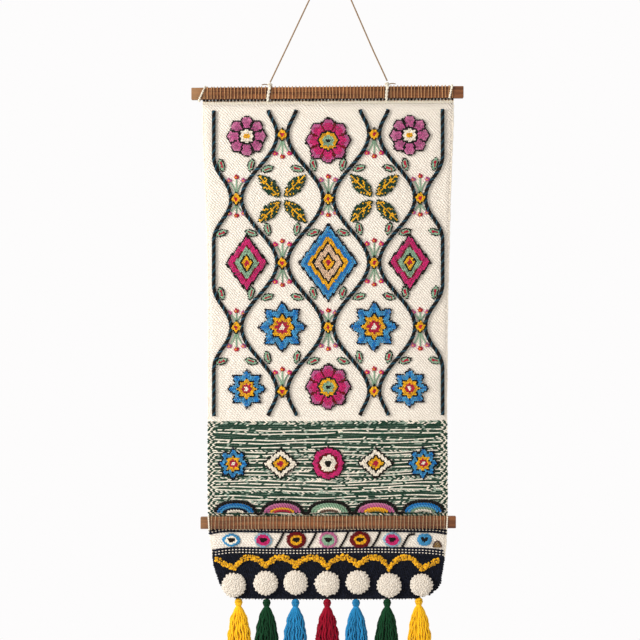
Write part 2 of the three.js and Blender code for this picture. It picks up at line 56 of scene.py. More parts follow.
# Height, left edge, right edge of the cloth
SELVEDGES = [
    (-276, -257.5, 245.5), (-351, -256.5, 243.5), (-479, -250.5, 238.5), (-607, -246.5, 235.5),
    (-679, -245.5, 233.5), (-879, -246.5, 231.5), (-1079, -246.5, 232.5), (-1139, -244.5, 231.5),
    (-1179, -239.5, 229.5), (-1213, -235, 224.5), (-1231, -229, 222), (-1247, -223.5, 219.5),
    (-1259, -216, 213), (-1271, -205, 197), (-1278, -190, 170),
]
# Height, and how far the hanging rises to the right there, per millimetre
LEVELS = [(-264, 0.0066), (-1123.4, 0.0037), (-1278, 0)]
# Depth, width and shift of each soft wave of the cloth, and how often it turns on the way down
WAVES = [(2.2, 410, 0.9, 1), (1.2, 260, 2.4, 2)]
CORNER_CURL = 9

TWINE_THICK = 2.5
TWINE_ROUTE = [
    (-122.3, -241.6), (-106, -207.5), (-90, -174.2), (-67, -125.8), (-45, -79.4), (-10, -5.8),
    (-6.2, 1.2), (-4, 4.6), (0, 6.1), (4, 4.5), (6, 1.2), (9.5, -6.2), (42, -82), (63, -130.3),
    (84, -178.6), (98, -209), (112.3, -240.1),
]
# Place on the top batten, lean, and the side on which the twine's short end lies
TIES = {"tie_left": (-127.5, 5, -1), "tie_right": (110, 2.5, 1)}

LATTICE = {"pitch": 92, "swing": 37, "repeat": 257, "middle": -604, "top": -298, "bottom": -910}
LATTICE_REACH = 229
# Distance of each cord from the middle, in pitches, and the side to which it swings first
LATTICE_CORDS = [(-2.5, -1), (-1.5, 1), (-0.5, -1), (0.5, 1), (1.5, -1), (2.5, 1)]
JOINT = 28
VINE_LEAF = {"away": 16.5, "long": 29, "wide": 15}
BAND_MOTIFS_Z = -1006
# Outline, distance from the middle, height, width and tallness; all but the middle ones are paired
MOTIFS = [
    ("rosette", 0, -360, 94, 94),
    ("great diamond", 0, -604, 122, 160),
    ("rosette", 0, -853, 94, 94),
    ("star", 92, -732.5, 100, 104),
    ("outer rosette", 163, -350, 84, 84),
    ("diamond", 163, -604, 88, 118),
    ("star", 163, -856, 80, 84),
    ("octagon", 0, BAND_MOTIFS_Z, 70, 70),
    ("pale diamond", 95, BAND_MOTIFS_Z, 76, 64),
    ("band star", 190, BAND_MOTIFS_Z, 66, 68),
]
# Yarn and width of the outline, and rings from the middle outwards, each with its reach and yarn.
# Last come the lines between petals or along points: where they start, half width and yarn
MOTIF_YARNS = {
    "rosette": ("black", 3.8, [(0.1, "black"), (0.26, "sage"), (0.4, "mustard"), (0.47, "navy"),
                               (0.78, "magenta"), (1, "mauve")], (0.47, 0.09, "maroon")),
    "outer rosette": ("black", 3.4, [(0.16, "mustard"), (0.34, "cream"), (0.44, "black"),
                                     (0.76, "mauve"), (1, "pink")], (0.44, 0.1, "black")),
    "star": ("navy", 4.6, [(0.13, "cream"), (0.3, "crimson"), (0.5, "mustard"), (0.57, "navy"),
                           (1, "sky")], (0.57, 0.12, "cobalt")),
    "great diamond": ("navy", 4.8, [(0.09, "crimson"), (0.2, "mustard"), (0.26, "black"),
                                    (0.47, "beige"), (0.54, "black"), (0.68, "mustard"),
                                    (0.8, "cobalt"), (1, "sky")]),
    "diamond": ("black", 4.8, [(0.12, "crimson"), (0.25, "mustard"), (0.34, "black"),
                               (0.56, "sage"), (0.62, "maroon"), (1, "magenta")]),
    "pale diamond": ("black", 4.4, [(0.2, "crimson"), (0.44, "mustard"), (0.56, "black"),
                                    (1, "cream")]),
    "octagon": ("black", 3.2, [(0.2, "black"), (0.5, "cream"), (0.62, "maroon"), (1, "magenta")]),
    "joint": ("black", 2.8, [(0.34, "crimson"), (1, "mustard")]),
}
MOTIF_YARNS["band star"] = MOTIF_YARNS["star"]
LEAF_CROSS = {"away": 92, "z": -475.5, "ring": 36, "long": 64, "wide": 29}
MEDALLIONS_Z = -1159
# Place along the band, width, tallness, width of the rim, and the colours of rim and field
MEDALLIONS = [
    (-200, 36, 25, 4.4, "sky", "cream"),
    (-136, 36, 29, 3.6, "pale_blue", "magenta"),
    (-70, 39, 33, 6.6, "maroon", "mustard"),
    (-6, 36, 33, 4.8, "pink", "sage"),
    (58, 41, 33, 6.6, "maroon", "mustard"),
    (122, 36, 29, 3.6, "pale_blue", "magenta"),
    (187, 30, 25, 4.4, "sky", "sky"),
]
ARCHES = {"from": -192, "pitch": 94, "half": 38, "foot": -1103, "rise": 21}
# Colours of the rows of yarn inside each arch, from its dark outline inwards
ARCH_YARNS = [
    ("cobalt", "sky", "navy", "cream"),
    ("pink", "mauve", "mustard", "crimson"),
    ("sage", "sage", "cream", "umber"),
    ("pink", "mauve", "mustard", "mustard"),
    ("cobalt", "sky", "sage", "cream"),
]
# Place, height and size of each pompom
POMPOMS = [
    (-194.8, -1249.4, 1), (-131, -1245, 1), (-71.2, -1244, 1), (-7.8, -1246.2, 1.02),
    (53.4, -1243.4, 0.98), (115.8, -1249.6, 1), (180.4, -1249.6, 0.94),
]
POMPOM_ACROSS = 51
POMPOM_DEEP = 17
SCALLOP_CREST = -1194
# Place, yarn and lean of each tassel
TASSELS = [
    (-186, "bright_mustard", 3), (-129.4, "bright_green", 0), (-71.6, "bright_blue", -2),
    (-8, "bright_crimson", 1), (49.8, "bright_blue", 1), (112.4, "bright_green", -3),
    (176.2, "bright_mustard", 2),
]
TASSEL_LONG = 131
TASSEL_NECK = 15.4
TASSEL_HALF_WIDE = 24
TASSEL_HALF_DEEP = 10.5

# Heights at which the ground of the cloth changes: cream field, striped band, cream band, navy
BAND_TOP = -921
BAND_FOOT = -1112
NAVY_TOP = -1187


def column(z, index, rows=SELVEDGES):
    """A column of a table that runs downwards, read at a height"""
    return np.interp(z, [row[0] for row in rows][::-1], [row[index] for row in rows][::-1])


def cloth_y(x, z):
    """Depth of the middle of the cloth at a place"""
    down = np.clip((TOP_BATTEN["z"] - z) / (TOP_BATTEN["z"] - LOWER_BATTEN["z"]), 0, 1)
    y = 0 * x
    for deep, across, shift, turns in WAVES:
        swell = np.cos(2 * np.pi * x / across + shift)
        y = y + deep * swell * np.sin(np.pi * down) * np.sin(turns * np.pi * down)
    side = abs(x - CLOTH_MIDDLE) * 2 / (column(z, 2) - column(z, 1))
    start = LOWER_BATTEN["z"] - BATTEN_TALL
    past = np.maximum(0, (start - z) / (start - HEM))
    return y + CORNER_CURL * past * side**4


def face_y(x, z):
    return cloth_y(x, z) - CLOTH_THICK / 2


def on_face(x, z, lift):
    """A line that lies a lift off the face of the cloth"""
    return np.stack([x, face_y(x, z) - lift, z], axis=1)


def selvedges_at(z):
    """The left and the right edge of the cloth at a height"""
    return float(column(z, 1)), float(column(z, 2))


def in_place(points):
    """Points in millimetres, as out of level as the hanging, in metres"""
    points = np.array(points, float)
    points[:, 2] += points[:, 0] * column(points[:, 2], 1, LEVELS)
    return points * MM


def hem_at(x):
    """Height of the hem's edge at a place along it"""
    index, way = (2, 1) if x > CLOTH_MIDDLE else (1, -1)
    rows = [row for row in SELVEDGES if row[0] <= ROUNDED_FROM]
    edges = [row[index] * way for row in rows]
    return float(np.interp(x * way, edges[::-1], [row[0] for row in rows][::-1]))


def placed(name, data):
    """A new object in the scene"""
    thing = bpy.data.objects.new(name, data)
    bpy.context.collection.objects.link(thing)
    return thing


# Camera, square on to the hanging, with the photograph's middle and width, in metres
PHOTO_MIDDLE = (-0.0224, -0.008, -0.7188)
CAMERA_OFF = 3.4
VIEW_WIDE = 1.28
camera_data = bpy.data.cameras.new("camera")
camera_data.sensor_width = 36
camera_data.lens = camera_data.sensor_width * CAMERA_OFF / VIEW_WIDE
camera = placed("camera", camera_data)
camera.location = (PHOTO_MIDDLE[0], PHOTO_MIDDLE[1] - CAMERA_OFF, PHOTO_MIDDLE[2])
camera.rotation_euler = (math.pi / 2, 0, 0)
bpy.context.scene.camera = camera


def linear(colour):
    """An sRGB hex colour as the linear numbers that a shader takes"""
    parts = [int(colour[i:i + 2], 16) / 255 for i in (1, 3, 5)]
    return [p / 12.92 if p <= 0.04045 else ((p + 0.055) / 1.055) ** 2.4 for p in parts] + [1]


def toned(colour, light):
    """The linear colour made lighter or darker by a factor"""
    return [min(1, part * light) for part in linear(colour)[:3]] + [1]


def feed(node, inputs):
    """Give a node's inputs their values, each a number or another node or its output"""
    for key, value in inputs.items() if isinstance(inputs, dict) else enumerate(inputs):
        if isinstance(value, bpy.types.Node):
            value = next(output for output in value.outputs if output.enabled)
        if isinstance(value, bpy.types.NodeSocket):
            node.id_data.links.new(value, node.inputs[key])
        else:
            node.inputs[key].default_value = value


def add(tree, kind, inputs=(), **settings):
    """A node with its settings and its inputs"""
    node = tree.nodes.new(kind)
    for name, value in settings.items():
        setattr(node, name, value)
    feed(node, inputs)
    return node


def finish_of(name, roughness, sheen=0.0, sheen_roughness=0.5, specular=0.3):
    """A new material: its tree, its shader, and the place of a point on the piece"""
    material = bpy.data.materials.new(name)
    material.use_nodes = True
    tree = material.node_tree
    shader = tree.nodes["Principled BSDF"]
    shader.inputs["Roughness"].default_value = roughness
    shader.inputs["Sheen Weight"].default_value = sheen
    shader.inputs["Sheen Roughness"].default_value = sheen_roughness
    shader.inputs["Specular IOR Level"].default_value = specular
    return material, tree, shader, add(tree, "ShaderNodeTexCoord").outputs["Object"]


def wool(name, colour, sheen=0.25, spread=0.55):
    """Loosely spun dyed wool: matt and soft, each loop or strand of its own shade, which on the
    tassels also carries painted shade deep inside and a painted highlight at the neck, with loose
    fibres about a millimetre long that roughen it and catch the light at its edges"""
    material, tree, shader, place = finish_of(name, 0.9, sheen, 0.45, 0.15)
    shade = add(tree, "ShaderNodeAttribute", attribute_name="shade").outputs["Fac"]
    patches, fibres = (
        add(tree, "ShaderNodeTexNoise", {"Vector": place, "Scale": scale, "Detail": detail})
        for scale, detail in ((45, 2), (900, 3)))
    tone = 0.0
    for part, share in ((patches, 0.25), (shade, 0.6), (fibres, 0.3)):
        tone = add(tree, "ShaderNodeMath", [part, share, tone], operation="MULTIPLY_ADD")
    dyed = add(tree, "ShaderNodeMix", {0: tone, 6: toned(colour, 1 - spread),
                                       7: toned(colour, 1 + spread)}, data_type="RGBA")
    bump = add(tree, "ShaderNodeBump", {"Height": fibres, "Strength": 0.6, "Distance": 0.0008})
    feed(shader, {"Base Color": dyed, "Normal": bump})
    return material


def handwoven(name, colour, hollow_shade, fleck):
    """Handwoven cotton of slubby yarn: rows of weft 4.4 mm apart, each of slanting beads where it
    goes over a warp thread, with painted shade darkening the hollows and a few straw-coloured
    flecks"""
    material, tree, shader, place = finish_of(name, 0.92, 0.12, 0.5, 0.15)
    parts = add(tree, "ShaderNodeSeparateXYZ", [place]).outputs
    wander, slubs, patches, sparse = (
        add(tree, "ShaderNodeTexNoise", {"Vector": place, "Scale": scale, "Detail": detail})
        for scale, detail in ((55, 2), (260, 3), (9, 2), (330, 1)))
    down, across = (
        add(tree, "ShaderNodeMath", [wander, reach, parts[way]], operation="MULTIPLY_ADD")
        for way, reach in (("Z", 0.004), ("X", 0.006)))
    slant = add(tree, "ShaderNodeMath", [across, down], operation="ADD")
    turns = [add(tree, "ShaderNodeMath", [along, 2 * math.pi / apart], operation="MULTIPLY")
             for along, apart in ((down, 0.0044), (slant, 0.0062))]
    row, bead = (add(tree, "ShaderNodeMath", [turn], operation="SINE") for turn in turns)
    height = 0.5
    for part, share in ((bead, 0.32), (row, 0.18), (slubs, 1.0)):
        height = add(tree, "ShaderNodeMath", [part, share, height], operation="MULTIPLY_ADD")
    drift = add(tree, "ShaderNodeMath", [patches, 0.2], operation="MULTIPLY")
    # Painted shade: the colour runs from the hollow shade where the weave lies lowest to the full
    # colour at its tops
    tone = add(tree, "ShaderNodeMath", [height, 0.58, drift], operation="MULTIPLY_ADD")
    spots = add(tree, "ShaderNodeMapRange",
                {"Value": sparse, "From Min": 0.7, "From Max": 0.78, "To Max": 0.5})
    dyed = linear(hollow_shade)
    for share, over in ((tone, colour), (spots, fleck)):
        dyed = add(tree, "ShaderNodeMix", {0: share, 6: dyed, 7: linear(over)}, data_type="RGBA")
    bump = add(tree, "ShaderNodeBump", {"Height": height, "Strength": 1.0, "Distance": 0.002})
    feed(shader, {"Base Color": dyed, "Normal": bump})
    return material


def oiled_lath(name, pale, middle, dark):
    """A planed hardwood lath wiped with oil: a low satin gloss, fine grain and short dark pores
    along its length, and a paler left end"""
    material, tree, shader, place = finish_of(name, 0.5, 0.0, 0.5, 0.35)
    lying = [add(tree, "ShaderNodeMapping", {"Vector": place, "Scale": scale})
             for scale in ((7, 90, 140), (60, 900, 1100))]
    grain, pores = (
        add(tree, "ShaderNodeTexNoise", {"Vector": vector, "Scale": 1, "Detail": detail,
                                         "Distortion": bend})
        for vector, detail, bend in zip(lying, (5, 2), (0.6, 0)))
    parts = add(tree, "ShaderNodeSeparateXYZ", [place]).outputs
    end, streaks, pits = (
        add(tree, "ShaderNodeMapRange", {"Value": value, "From Min": low, "From Max": high,
                                         "To Min": start, "To Max": stop})
        for value, low, high, start, stop in ((parts["X"], -0.272, -0.235, 0.75, 0),
                                              (grain, 0.35, 0.68, 0, 1),
                                              (pores, 0.62, 0.72, 0, 0.45)))
    body = linear(dark)
    for share, over in ((streaks, linear(middle)), (end, linear(pale)), (pits, toned(dark, 0.5))):
        body = add(tree, "ShaderNodeMix", {0: share, 6: body, 7: over}, data_type="RGBA")
    gloss = add(tree, "ShaderNodeMath", [pores, 0.25, 0.36], operation="MULTIPLY_ADD")
    height = add(tree, "ShaderNodeMath", [grain, 0.6, pores], operation="MULTIPLY_ADD")
    bump = add(tree, "ShaderNodeBump", {"Height": height, "Strength": 0.35, "Distance": 0.0005})
    feed(shader, {"Base Color": body, "Roughness": gloss, "Normal": bump})
    return material


def plastered(name, colour):
    """A smooth painted studio floor, matt, with only a trace of unevenness"""
    material, tree, shader, place = finish_of(name, 0.85)
    drift = add(tree, "ShaderNodeTexNoise", {"Vector": place, "Scale": 2})
    paint = add(tree, "ShaderNodeMix", {0: drift, 6: toned(colour, 0.97), 7: linear(colour)},
                data_type="RGBA")
    feed(shader, {"Base Color": paint})
    return material


# Sheen and spread of shade are lower on the darkest and the palest yarns, which show less of both
YARNS = {
    "black": wool("black_wool", "#17120F", 0.06, 0.4),
    "navy": wool("navy_wool", "#0E111D", 0.05, 0.8),
    "teal": wool("dark_teal_wool", "#1D4453", 0.1, 0.4),
    "magenta": wool("magenta_wool", "#B51B5E"),
    "crimson": wool("crimson_wool", "#A30F30"),
    "mauve": wool("mauve_wool", "#A94F7C"),
    "pink": wool("rose_pink_wool", "#B4668A"),
    "maroon": wool("maroon_wool", "#62060C", 0.12),
    "sage": wool("sage_wool", "#809E82"),
    "bottle": wool("bottle_green_wool", "#143626", 0.1),
    "heather": wool("heathered_grey_green_wool", "#93A08F", 0.15, 0.5),
    "mustard": wool("mustard_wool", "#D89A0D"),
    "sky": wool("sky_blue_wool", "#3A84AE"),
    "pale_blue": wool("pale_blue_wool", "#84A3B2"),
    "cobalt": wool("cobalt_wool", "#0E68A6"),
    "beige": wool("beige_wool", "#C9A98B"),
    "umber": wool("umber_wool", "#5C4436", 0.12),
    "olive": wool("olive_brown_wool", "#86693F", 0.12),
    "cream": wool("undyed_wool", "#E6DBC9", 0.15, 0.26),
    "pompom": wool("soft_undyed_pompom_wool", "#DBD1C3", 0.15, 0.08),
    "bright_mustard": wool("tassel_mustard_wool", "#F4B018", 0.15, 0.3),
    "bright_green": wool("tassel_green_wool", "#093119", 0.05, 0.8),
    "bright_blue": wool("tassel_blue_wool", "#1E6D98", 0.12, 0.85),
    "bright_crimson": wool("tassel_crimson_wool", "#7C061D", 0.04, 0.65),
}
COTTON_THREAD = wool("undyed_cotton_thread", "#D0B18A", 0.05, 0.4)
TAN_THREAD = wool("tan_cotton_thread", "#BC8C5E", 0.05, 0.4)
COTTON_CORD = wool("thick_undyed_cotton_cord", "#E8DECB", 0.15, 0.25)
JUTE = wool("brown_jute_twine", "#94795A", 0.0, 0.4)
# Each ground: its colour, the painted shade of its hollows, and its flecks
GROUNDS = [
    handwoven("handwoven_cream_cotton", "#F7EDE0", "#DACBB6", "#B79A74"),
    handwoven("handwoven_grey_green_cotton", "#6F8070", "#22362A", "#1C2B20"),
    handwoven("handwoven_navy_cotton", "#171B2E", "#0A0C16", "#2B3148"),
]
LATH = oiled_lath("oiled_hardwood_lath", "#98724C", "#8C552D", "#4A2610")


def new_tree(name, inputs):
    """A geometry tree with named inputs: the tree, and what is given to it"""
    kinds = {float: "NodeSocketFloat", int: "NodeSocketInt", None: "NodeSocketMaterial"}
    tree = bpy.data.node_groups.new(name, "GeometryNodeTree")
    tree.interface.new_socket("Geometry", in_out="INPUT", socket_type="NodeSocketGeometry")
    for label, kind in inputs.items():
        tree.interface.new_socket(label, in_out="INPUT", socket_type=kinds[kind])
    tree.interface.new_socket("Geometry", in_out="OUTPUT", socket_type="NodeSocketGeometry")
    return tree, tree.nodes.new("NodeGroupInput").outputs


def close_tree(tree, given, geometry):
    """The tree, ended with real, smooth faces of one yarn"""
    real = add(tree, "GeometryNodeRealizeInstances", [geometry])
    smooth = add(tree, "GeometryNodeSetShadeSmooth", [real])
    dyed = add(tree, "GeometryNodeSetMaterial", {0: smooth, "Material": given["Yarn"]})
    add(tree, "NodeGroupOutput", [dyed])
    return tree


def loops_on(tree, given, points, low, high, size):
    """A loop of pile on every point, no two turned or shaped alike"""
    loop = add(tree, "GeometryNodeMeshIcoSphere",
               {"Radius": given["Loop radius"], "Subdivisions": 1})
    turn, shape = (add(tree, "FunctionNodeRandomValue", {0: least, 1: most, "Seed": given["Seed"]},
                       data_type="FLOAT_VECTOR")
                   for least, most in (((0, 0, 0), (6.28, 6.28, 6.28)), (low, high)))
    scale = add(tree, "ShaderNodeVectorMath", {0: shape, "Scale": size}, operation="SCALE")
    return add(tree, "GeometryNodeInstanceOnPoints", {
        "Points": points, "Instance": loop, "Rotation": turn, "Scale": scale})


def loop_pile_tree():
    """A loop of pile on every guide point"""
    tree, given = new_tree("loop_pile", {
        "Loop radius": float, "Unevenness": float, "Seed": int, "Yarn": None})
    size = add(tree, "GeometryNodeInputNamedAttribute", ["size"], data_type="FLOAT")
    low, high = (add(tree, "ShaderNodeMath", [1.0, given["Unevenness"]], operation=way)
                 for way in ("SUBTRACT", "ADD"))
    loops = loops_on(tree, given, given["Geometry"], low, high, size)
    return close_tree(tree, given, loops)


def flat_stitch_tree():
    """A flat pointed stitch on every guide point, turned on the face of the cloth"""
    tree, given = new_tree("flat_stitches", {"Sides": int, "Flatness": float, "Yarn": None})
    long, thick, angle = (
        add(tree, "GeometryNodeInputNamedAttribute", [label], data_type="FLOAT")
        for label in ("long", "thick", "turn"))
    ball = add(tree, "GeometryNodeMeshUVSphere",
               {"Segments": given["Sides"], "Rings": 4, "Radius": 0.5})
    lying = add(tree, "GeometryNodeTransform", {"Geometry": ball, "Rotation": (0, math.pi / 2, 0)})
    deep = add(tree, "ShaderNodeMath", [thick, given["Flatness"]], operation="MULTIPLY")
    scale = add(tree, "ShaderNodeCombineXYZ", [long, deep, thick])
    back = add(tree, "ShaderNodeMath", [angle, -1.0], operation="MULTIPLY")
    turn = add(tree, "ShaderNodeCombineXYZ", {1: back})
    stitches = add(tree, "GeometryNodeInstanceOnPoints", {
        "Points": given["Geometry"], "Instance": lying, "Rotation": turn, "Scale": scale})
    return close_tree(tree, given, stitches)


def laid_yarn_tree():
    """Plies of yarn twisted round every guide line"""
    tree, given = new_tree("laid_yarn", {
        "Step": float, "Plies": int, "Ply radius": float, "Off centre": float,
        "First angle": float, "Angle between": float, "Lay": float, "Sides": int, "Yarn": None})
    line = add(tree, "GeometryNodeMeshToCurve", [given["Geometry"]])
    line = add(tree, "GeometryNodeResampleCurve", {"Curve": line, "Length": given["Step"]},
               mode="LENGTH")
    along = add(tree, "GeometryNodeSplineParameter").outputs["Length"]
    turns = add(tree, "ShaderNodeMath", [along, given["Lay"]], operation="DIVIDE")
    tilt = add(tree, "ShaderNodeMath", [turns, 2 * math.pi], operation="MULTIPLY")
    line = add(tree, "GeometryNodeSetCurveTilt", {"Curve": line, "Tilt": tilt})
    number = add(tree, "GeometryNodeInputIndex")
    angle = add(tree, "ShaderNodeMath", [number, given["Angle between"], given["First angle"]],
                operation="MULTIPLY_ADD")
    off = [add(tree, "ShaderNodeMath", [angle], operation=way) for way in ("COSINE", "SINE")]
    off = [add(tree, "ShaderNodeMath", [part, given["Off centre"]], operation="MULTIPLY")
           for part in off]
    middle = add(tree, "ShaderNodeCombineXYZ", off)
    middles = add(tree, "GeometryNodePoints", {"Count": given["Plies"], "Position": middle})
    ring = add(tree, "GeometryNodeCurvePrimitiveCircle",
               {"Resolution": given["Sides"], "Radius": given["Ply radius"]})
    rings = add(tree, "GeometryNodeInstanceOnPoints", {"Points": middles, "Instance": ring})
    section = add(tree, "GeometryNodeRealizeInstances", [rings])
    thick = add(tree, "GeometryNodeInputNamedAttribute", ["thick"], data_type="FLOAT")
    plies = add(tree, "GeometryNodeCurveToMesh", {
        "Curve": line, "Profile Curve": section, "Scale": thick, "Fill Caps": True})
    return close_tree(tree, given, plies)


def pompom_tree():
    """Loops set close together all over a dome, which stays under them"""
    tree, given = new_tree("pompom_loops", {
        "Loop radius": float, "Loop spacing": float, "Seed": int, "Yarn": None})
    spread = add(tree, "GeometryNodeDistributePointsOnFaces", {
        "Mesh": given["Geometry"], "Distance Min": given["Loop spacing"], "Density Max": 200000.0,
        "Seed": given["Seed"]}, distribute_method="POISSON")
    shade = add(tree, "FunctionNodeRandomValue", {2: 0.3, 3: 1.0, "Seed": given["Seed"]},
                data_type="FLOAT")
    points = add(tree, "GeometryNodeStoreNamedAttribute",
                 {"Geometry": spread, "Name": "shade", "Value": shade}, data_type="FLOAT",
                 domain="POINT")
    loops = loops_on(tree, given, points, (0.85, 0.85, 0.85), (1.2, 1.2, 1.2), 1.0)
    both = add(tree, "GeometryNodeJoinGeometry", [loops])
    feed(both, [given["Geometry"]])
    return close_tree(tree, given, both)


LOOP_PILE = loop_pile_tree()
FLAT_STITCHES = flat_stitch_tree()
LAID_YARN = laid_yarn_tree()
POMPOM_LOOPS = pompom_tree()


def guide_mesh(name, points, edges=(), faces=(), **numbers):
    """A mesh in metres of points in millimetres, each with its own numbers"""
    mesh = bpy.data.meshes.new(name)
    mesh.from_pydata(in_place(points).tolist(), list(edges), list(faces))
    for label, values in numbers.items():
        mesh.attributes.new(label, "FLOAT", "POINT").data.foreach_set(
            "value", np.array(values, np.float32))
    return mesh


def grown(name, tree, guide, inputs):
    """The piece that a tree grows on its guide, as a plain mesh"""
    piece = placed(name, guide)
    growth = piece.modifiers.new("growth", "NODES")
    growth.node_group = tree
    for item in tree.interface.items_tree:
        if item.in_out == "INPUT" and item.name in inputs:
            growth[item.identifier] = inputs[item.name]
    depsgraph = bpy.context.evaluated_depsgraph_get()
    mesh = bpy.data.meshes.new_from_object(piece.evaluated_get(depsgraph), depsgraph=depsgraph)
    piece.modifiers.clear()
    piece.data = mesh
    return piece


def lines_mesh(name, lines, shades, thick=None):
    """Guide lines, each open or, where it ends where it starts, closed"""
    points, edges, shade, size = [], [], [], []
    for index, line in enumerate(lines):
        line = np.array(line, float)
        closed = np.allclose(line[0], line[-1])
        if closed:
            line = line[:-1]
        start = len(points)
        points.extend(line.tolist())
        edges.extend((start + i, start + i + 1) for i in range(len(line) - 1))
        if closed:
            edges.append((start + len(line) - 1, start))
        shade.extend([shades[index]] * len(line))
        size.extend([1.0] * len(line) if thick is None else thick[index])
    return guide_mesh(name, points, edges, shade=shade, thick=size)


# Soft plies press into each other a little
PLY_FULLNESS = 1.08


def yarn_piece(name, lines, yarn, thick, plies=2, lay=9.0, step=2.0, sides=6, seed=1,
               of_plies=None, first=0.0, sizes=None, shades=None):
    """Lines of yarn of a thickness; of_plies is the number of plies in the whole cord"""
    dice = np.random.RandomState(seed)
    whole = of_plies or plies
    # Radius of a ply, and how far it lies off the middle, for two or more plies that just touch
    radius = thick / 2 if whole == 1 else thick / 2 / (1 + 0.9 / math.sin(math.pi / whole))
    off = 0.0 if whole == 1 else thick / 2 - radius
    shades = dice.uniform(0.2, 1, len(lines)) if shades is None else shades
    guide = lines_mesh(name, lines, shades, sizes)
    return grown(name, LAID_YARN, guide, {
        "Step": step * MM, "Plies": plies, "Ply radius": radius * PLY_FULLNESS * MM,
        "Off centre": off * MM, "First angle": first, "Angle between": 2 * math.pi / whole,
        "Lay": lay * MM, "Sides": sides, "Yarn": yarn})


def dressed(piece, node):
    """The piece on its body, in place of the CAD node that it stands for"""
    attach(piece, "root")
    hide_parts(node)
    return piece


def sewn(piece):
    """A piece that is worked through the cloth, and so is part of it"""
    return dressed(piece, "cloth_panel")


def skin(rings, around, way=1, first=0):
    """Four-sided faces between rings of points, each ring as long as the others"""
    faces = []
    for start in range(first, first + (rings - 1) * around, around):
        for i in range(around):
            j = (i + 1) % around
            face = (start + i, start + around + i, start + around + j, start + j)
            faces.append(face[:1] + face[:0:-1] if way < 0 else face)
    return faces


def smooth_line(route, steps):
    """A centripetal Catmull-Rom line through the points of a route"""
    route = np.array(route, float)
    route = np.vstack([2 * route[0] - route[1], route, 2 * route[-1] - route[-2]])
    line = []
    for a, b, c, d in zip(route, route[1:], route[2:], route[3:]):
        t = [0]
        for p, q in ((a, b), (b, c), (c, d)):
            t.append(t[-1] + np.linalg.norm(q - p) ** 0.5)
        for s in np.linspace(t[1], t[2], steps, endpoint=False):
            def between(p, q, i, j):
                return (p * (t[j] - s) + q * (s - t[i])) / (t[j] - t[i])

            bc = between(b, c, 1, 2)
            line.append(between(between(between(a, b, 0, 1), bc, 0, 2),
                                between(bc, between(c, d, 2, 3), 1, 3), 1, 2))
    return np.array(line + [route[-2]])


# The twine, three plies of jute from one tie over the nail to the other. The plies are laid out
# a quarter thicker than a round twine, because of the hollows between them
twine_line = smooth_line([(x, 0, z) for x, z in TWINE_ROUTE], 6)
twine = yarn_piece("jute_twine", [twine_line], JUTE, TWINE_THICK * 1.25, plies=3, lay=7, step=1)
twine_path = in_place(twine_line)
dressed(twine, "hanging_cord")


def cloth_sheet():
    """The handwoven cloth: a closed sheet with rounded selvedges, in its three grounds"""
    heights = sorted({*np.arange(HEM, CLOTH_TOP - 4, 9).tolist(), CLOTH_TOP, BAND_TOP, BAND_FOOT,
                      NAVY_TOP}, reverse=True)
    columns = 56
    rounding = 1.5
    points = []
    for z in heights:
        left, right = selvedges_at(z)
        x = np.linspace(left + rounding, right - rounding, columns)
        front = np.stack([x, face_y(x, z), 0 * x + z], axis=1)
        back = np.stack([x, cloth_y(x, z) + CLOTH_THICK / 2, 0 * x + z], axis=1)[::-1]
        edges = [[[side, float(cloth_y(side, z)), z]] for side in (right, left)]
        points.append(np.vstack([front, edges[0], back, edges[1]]))
    around = len(points[0])
    faces = skin(len(heights), around)
    middles = (np.array(heights[:-1]) + heights[1:]) / 2
    grounds = np.repeat(np.select([(BAND_FOOT < middles) & (middles < BAND_TOP),
                                   middles < NAVY_TOP], [1, 2], 0), around).tolist()
    # Close the top and the foot
    last = (len(heights) - 1) * around
    for i in range(columns):
        quad = (i, i + 1, 2 * columns - i, 2 * columns + 1 - i)
        faces.extend([quad, tuple(last + corner for corner in quad)[::-1]])
        grounds.extend([0, 2])
    mesh = guide_mesh("handwoven_cloth", np.vstack(points), faces=faces)
    for ground in GROUNDS:
        mesh.materials.append(ground)
    mesh.polygons.foreach_set("material_index", grounds)
    mesh.polygons.foreach_set("use_smooth", [True] * len(faces))
    return placed("handwoven_cloth", mesh)


cloth = dressed(cloth_sheet(), "cloth_panel")


def lath(name, left, right, y, z):
    """A planed lath: straight, its long edges eased, its faces a hair out of true"""
    half_deep, half_tall, ease = BATTEN_DEEP / 2, BATTEN_TALL / 2, 1.2
    corner = []
    for side_y, side_z, start in ((1, 1, 0), (-1, 1, 90), (-1, -1, 180), (1, -1, 270)):
        for step in range(4):
            turn = math.radians(start + step * 30)
            corner.append((side_y * (half_deep - ease) + ease * math.cos(turn),
                           side_z * (half_tall - ease) + ease * math.sin(turn)))
    stations = [left, left + 0.8, *np.linspace(left + 3, right - 3, 24), right - 0.8, right]
    points = []
    for index, x in enumerate(stations):
        shrink = 0.9 if index in (0, len(stations) - 1) else 1
        drift = 0.15 * math.sin(x / 47)
        points.extend((x, y + v * shrink, z + w * shrink + drift) for v, w in corner)
    count = len(corner)
    faces = skin(len(stations), count, way=-1)
    faces.append(tuple(range(count))[::-1])
    faces.append(tuple((len(stations) - 1) * count + i for i in range(count)))
    mesh = guide_mesh(name, points, faces=faces)
    mesh.materials.append(LATH)
    return placed(name, mesh)


dressed(lath("top_lath", **TOP_BATTEN), "top_batten")
dressed(lath("lower_lath", **LOWER_BATTEN), "lower_batten")


def wraps(count, left, right, outline, z, seed, keep_off=()):
    """Threads over a batten, evenly set but each with its own lean; outline is depth and height"""
    dice = np.random.RandomState(seed)
    lines = []
    for index in range(count):
        x = left + (index + 0.5) * (right - left) / count + dice.uniform(-0.9, 0.9)
        lean = dice.uniform(-1.2, 1.2)
        if all(abs(x - other) >= 4.5 for other in keep_off):
            lines.append([(x + lean * up / BATTEN_TALL, y, up + z) for y, up in outline])
    return lines


TOP_TURNS = 74
LOWER_TURNS = 65
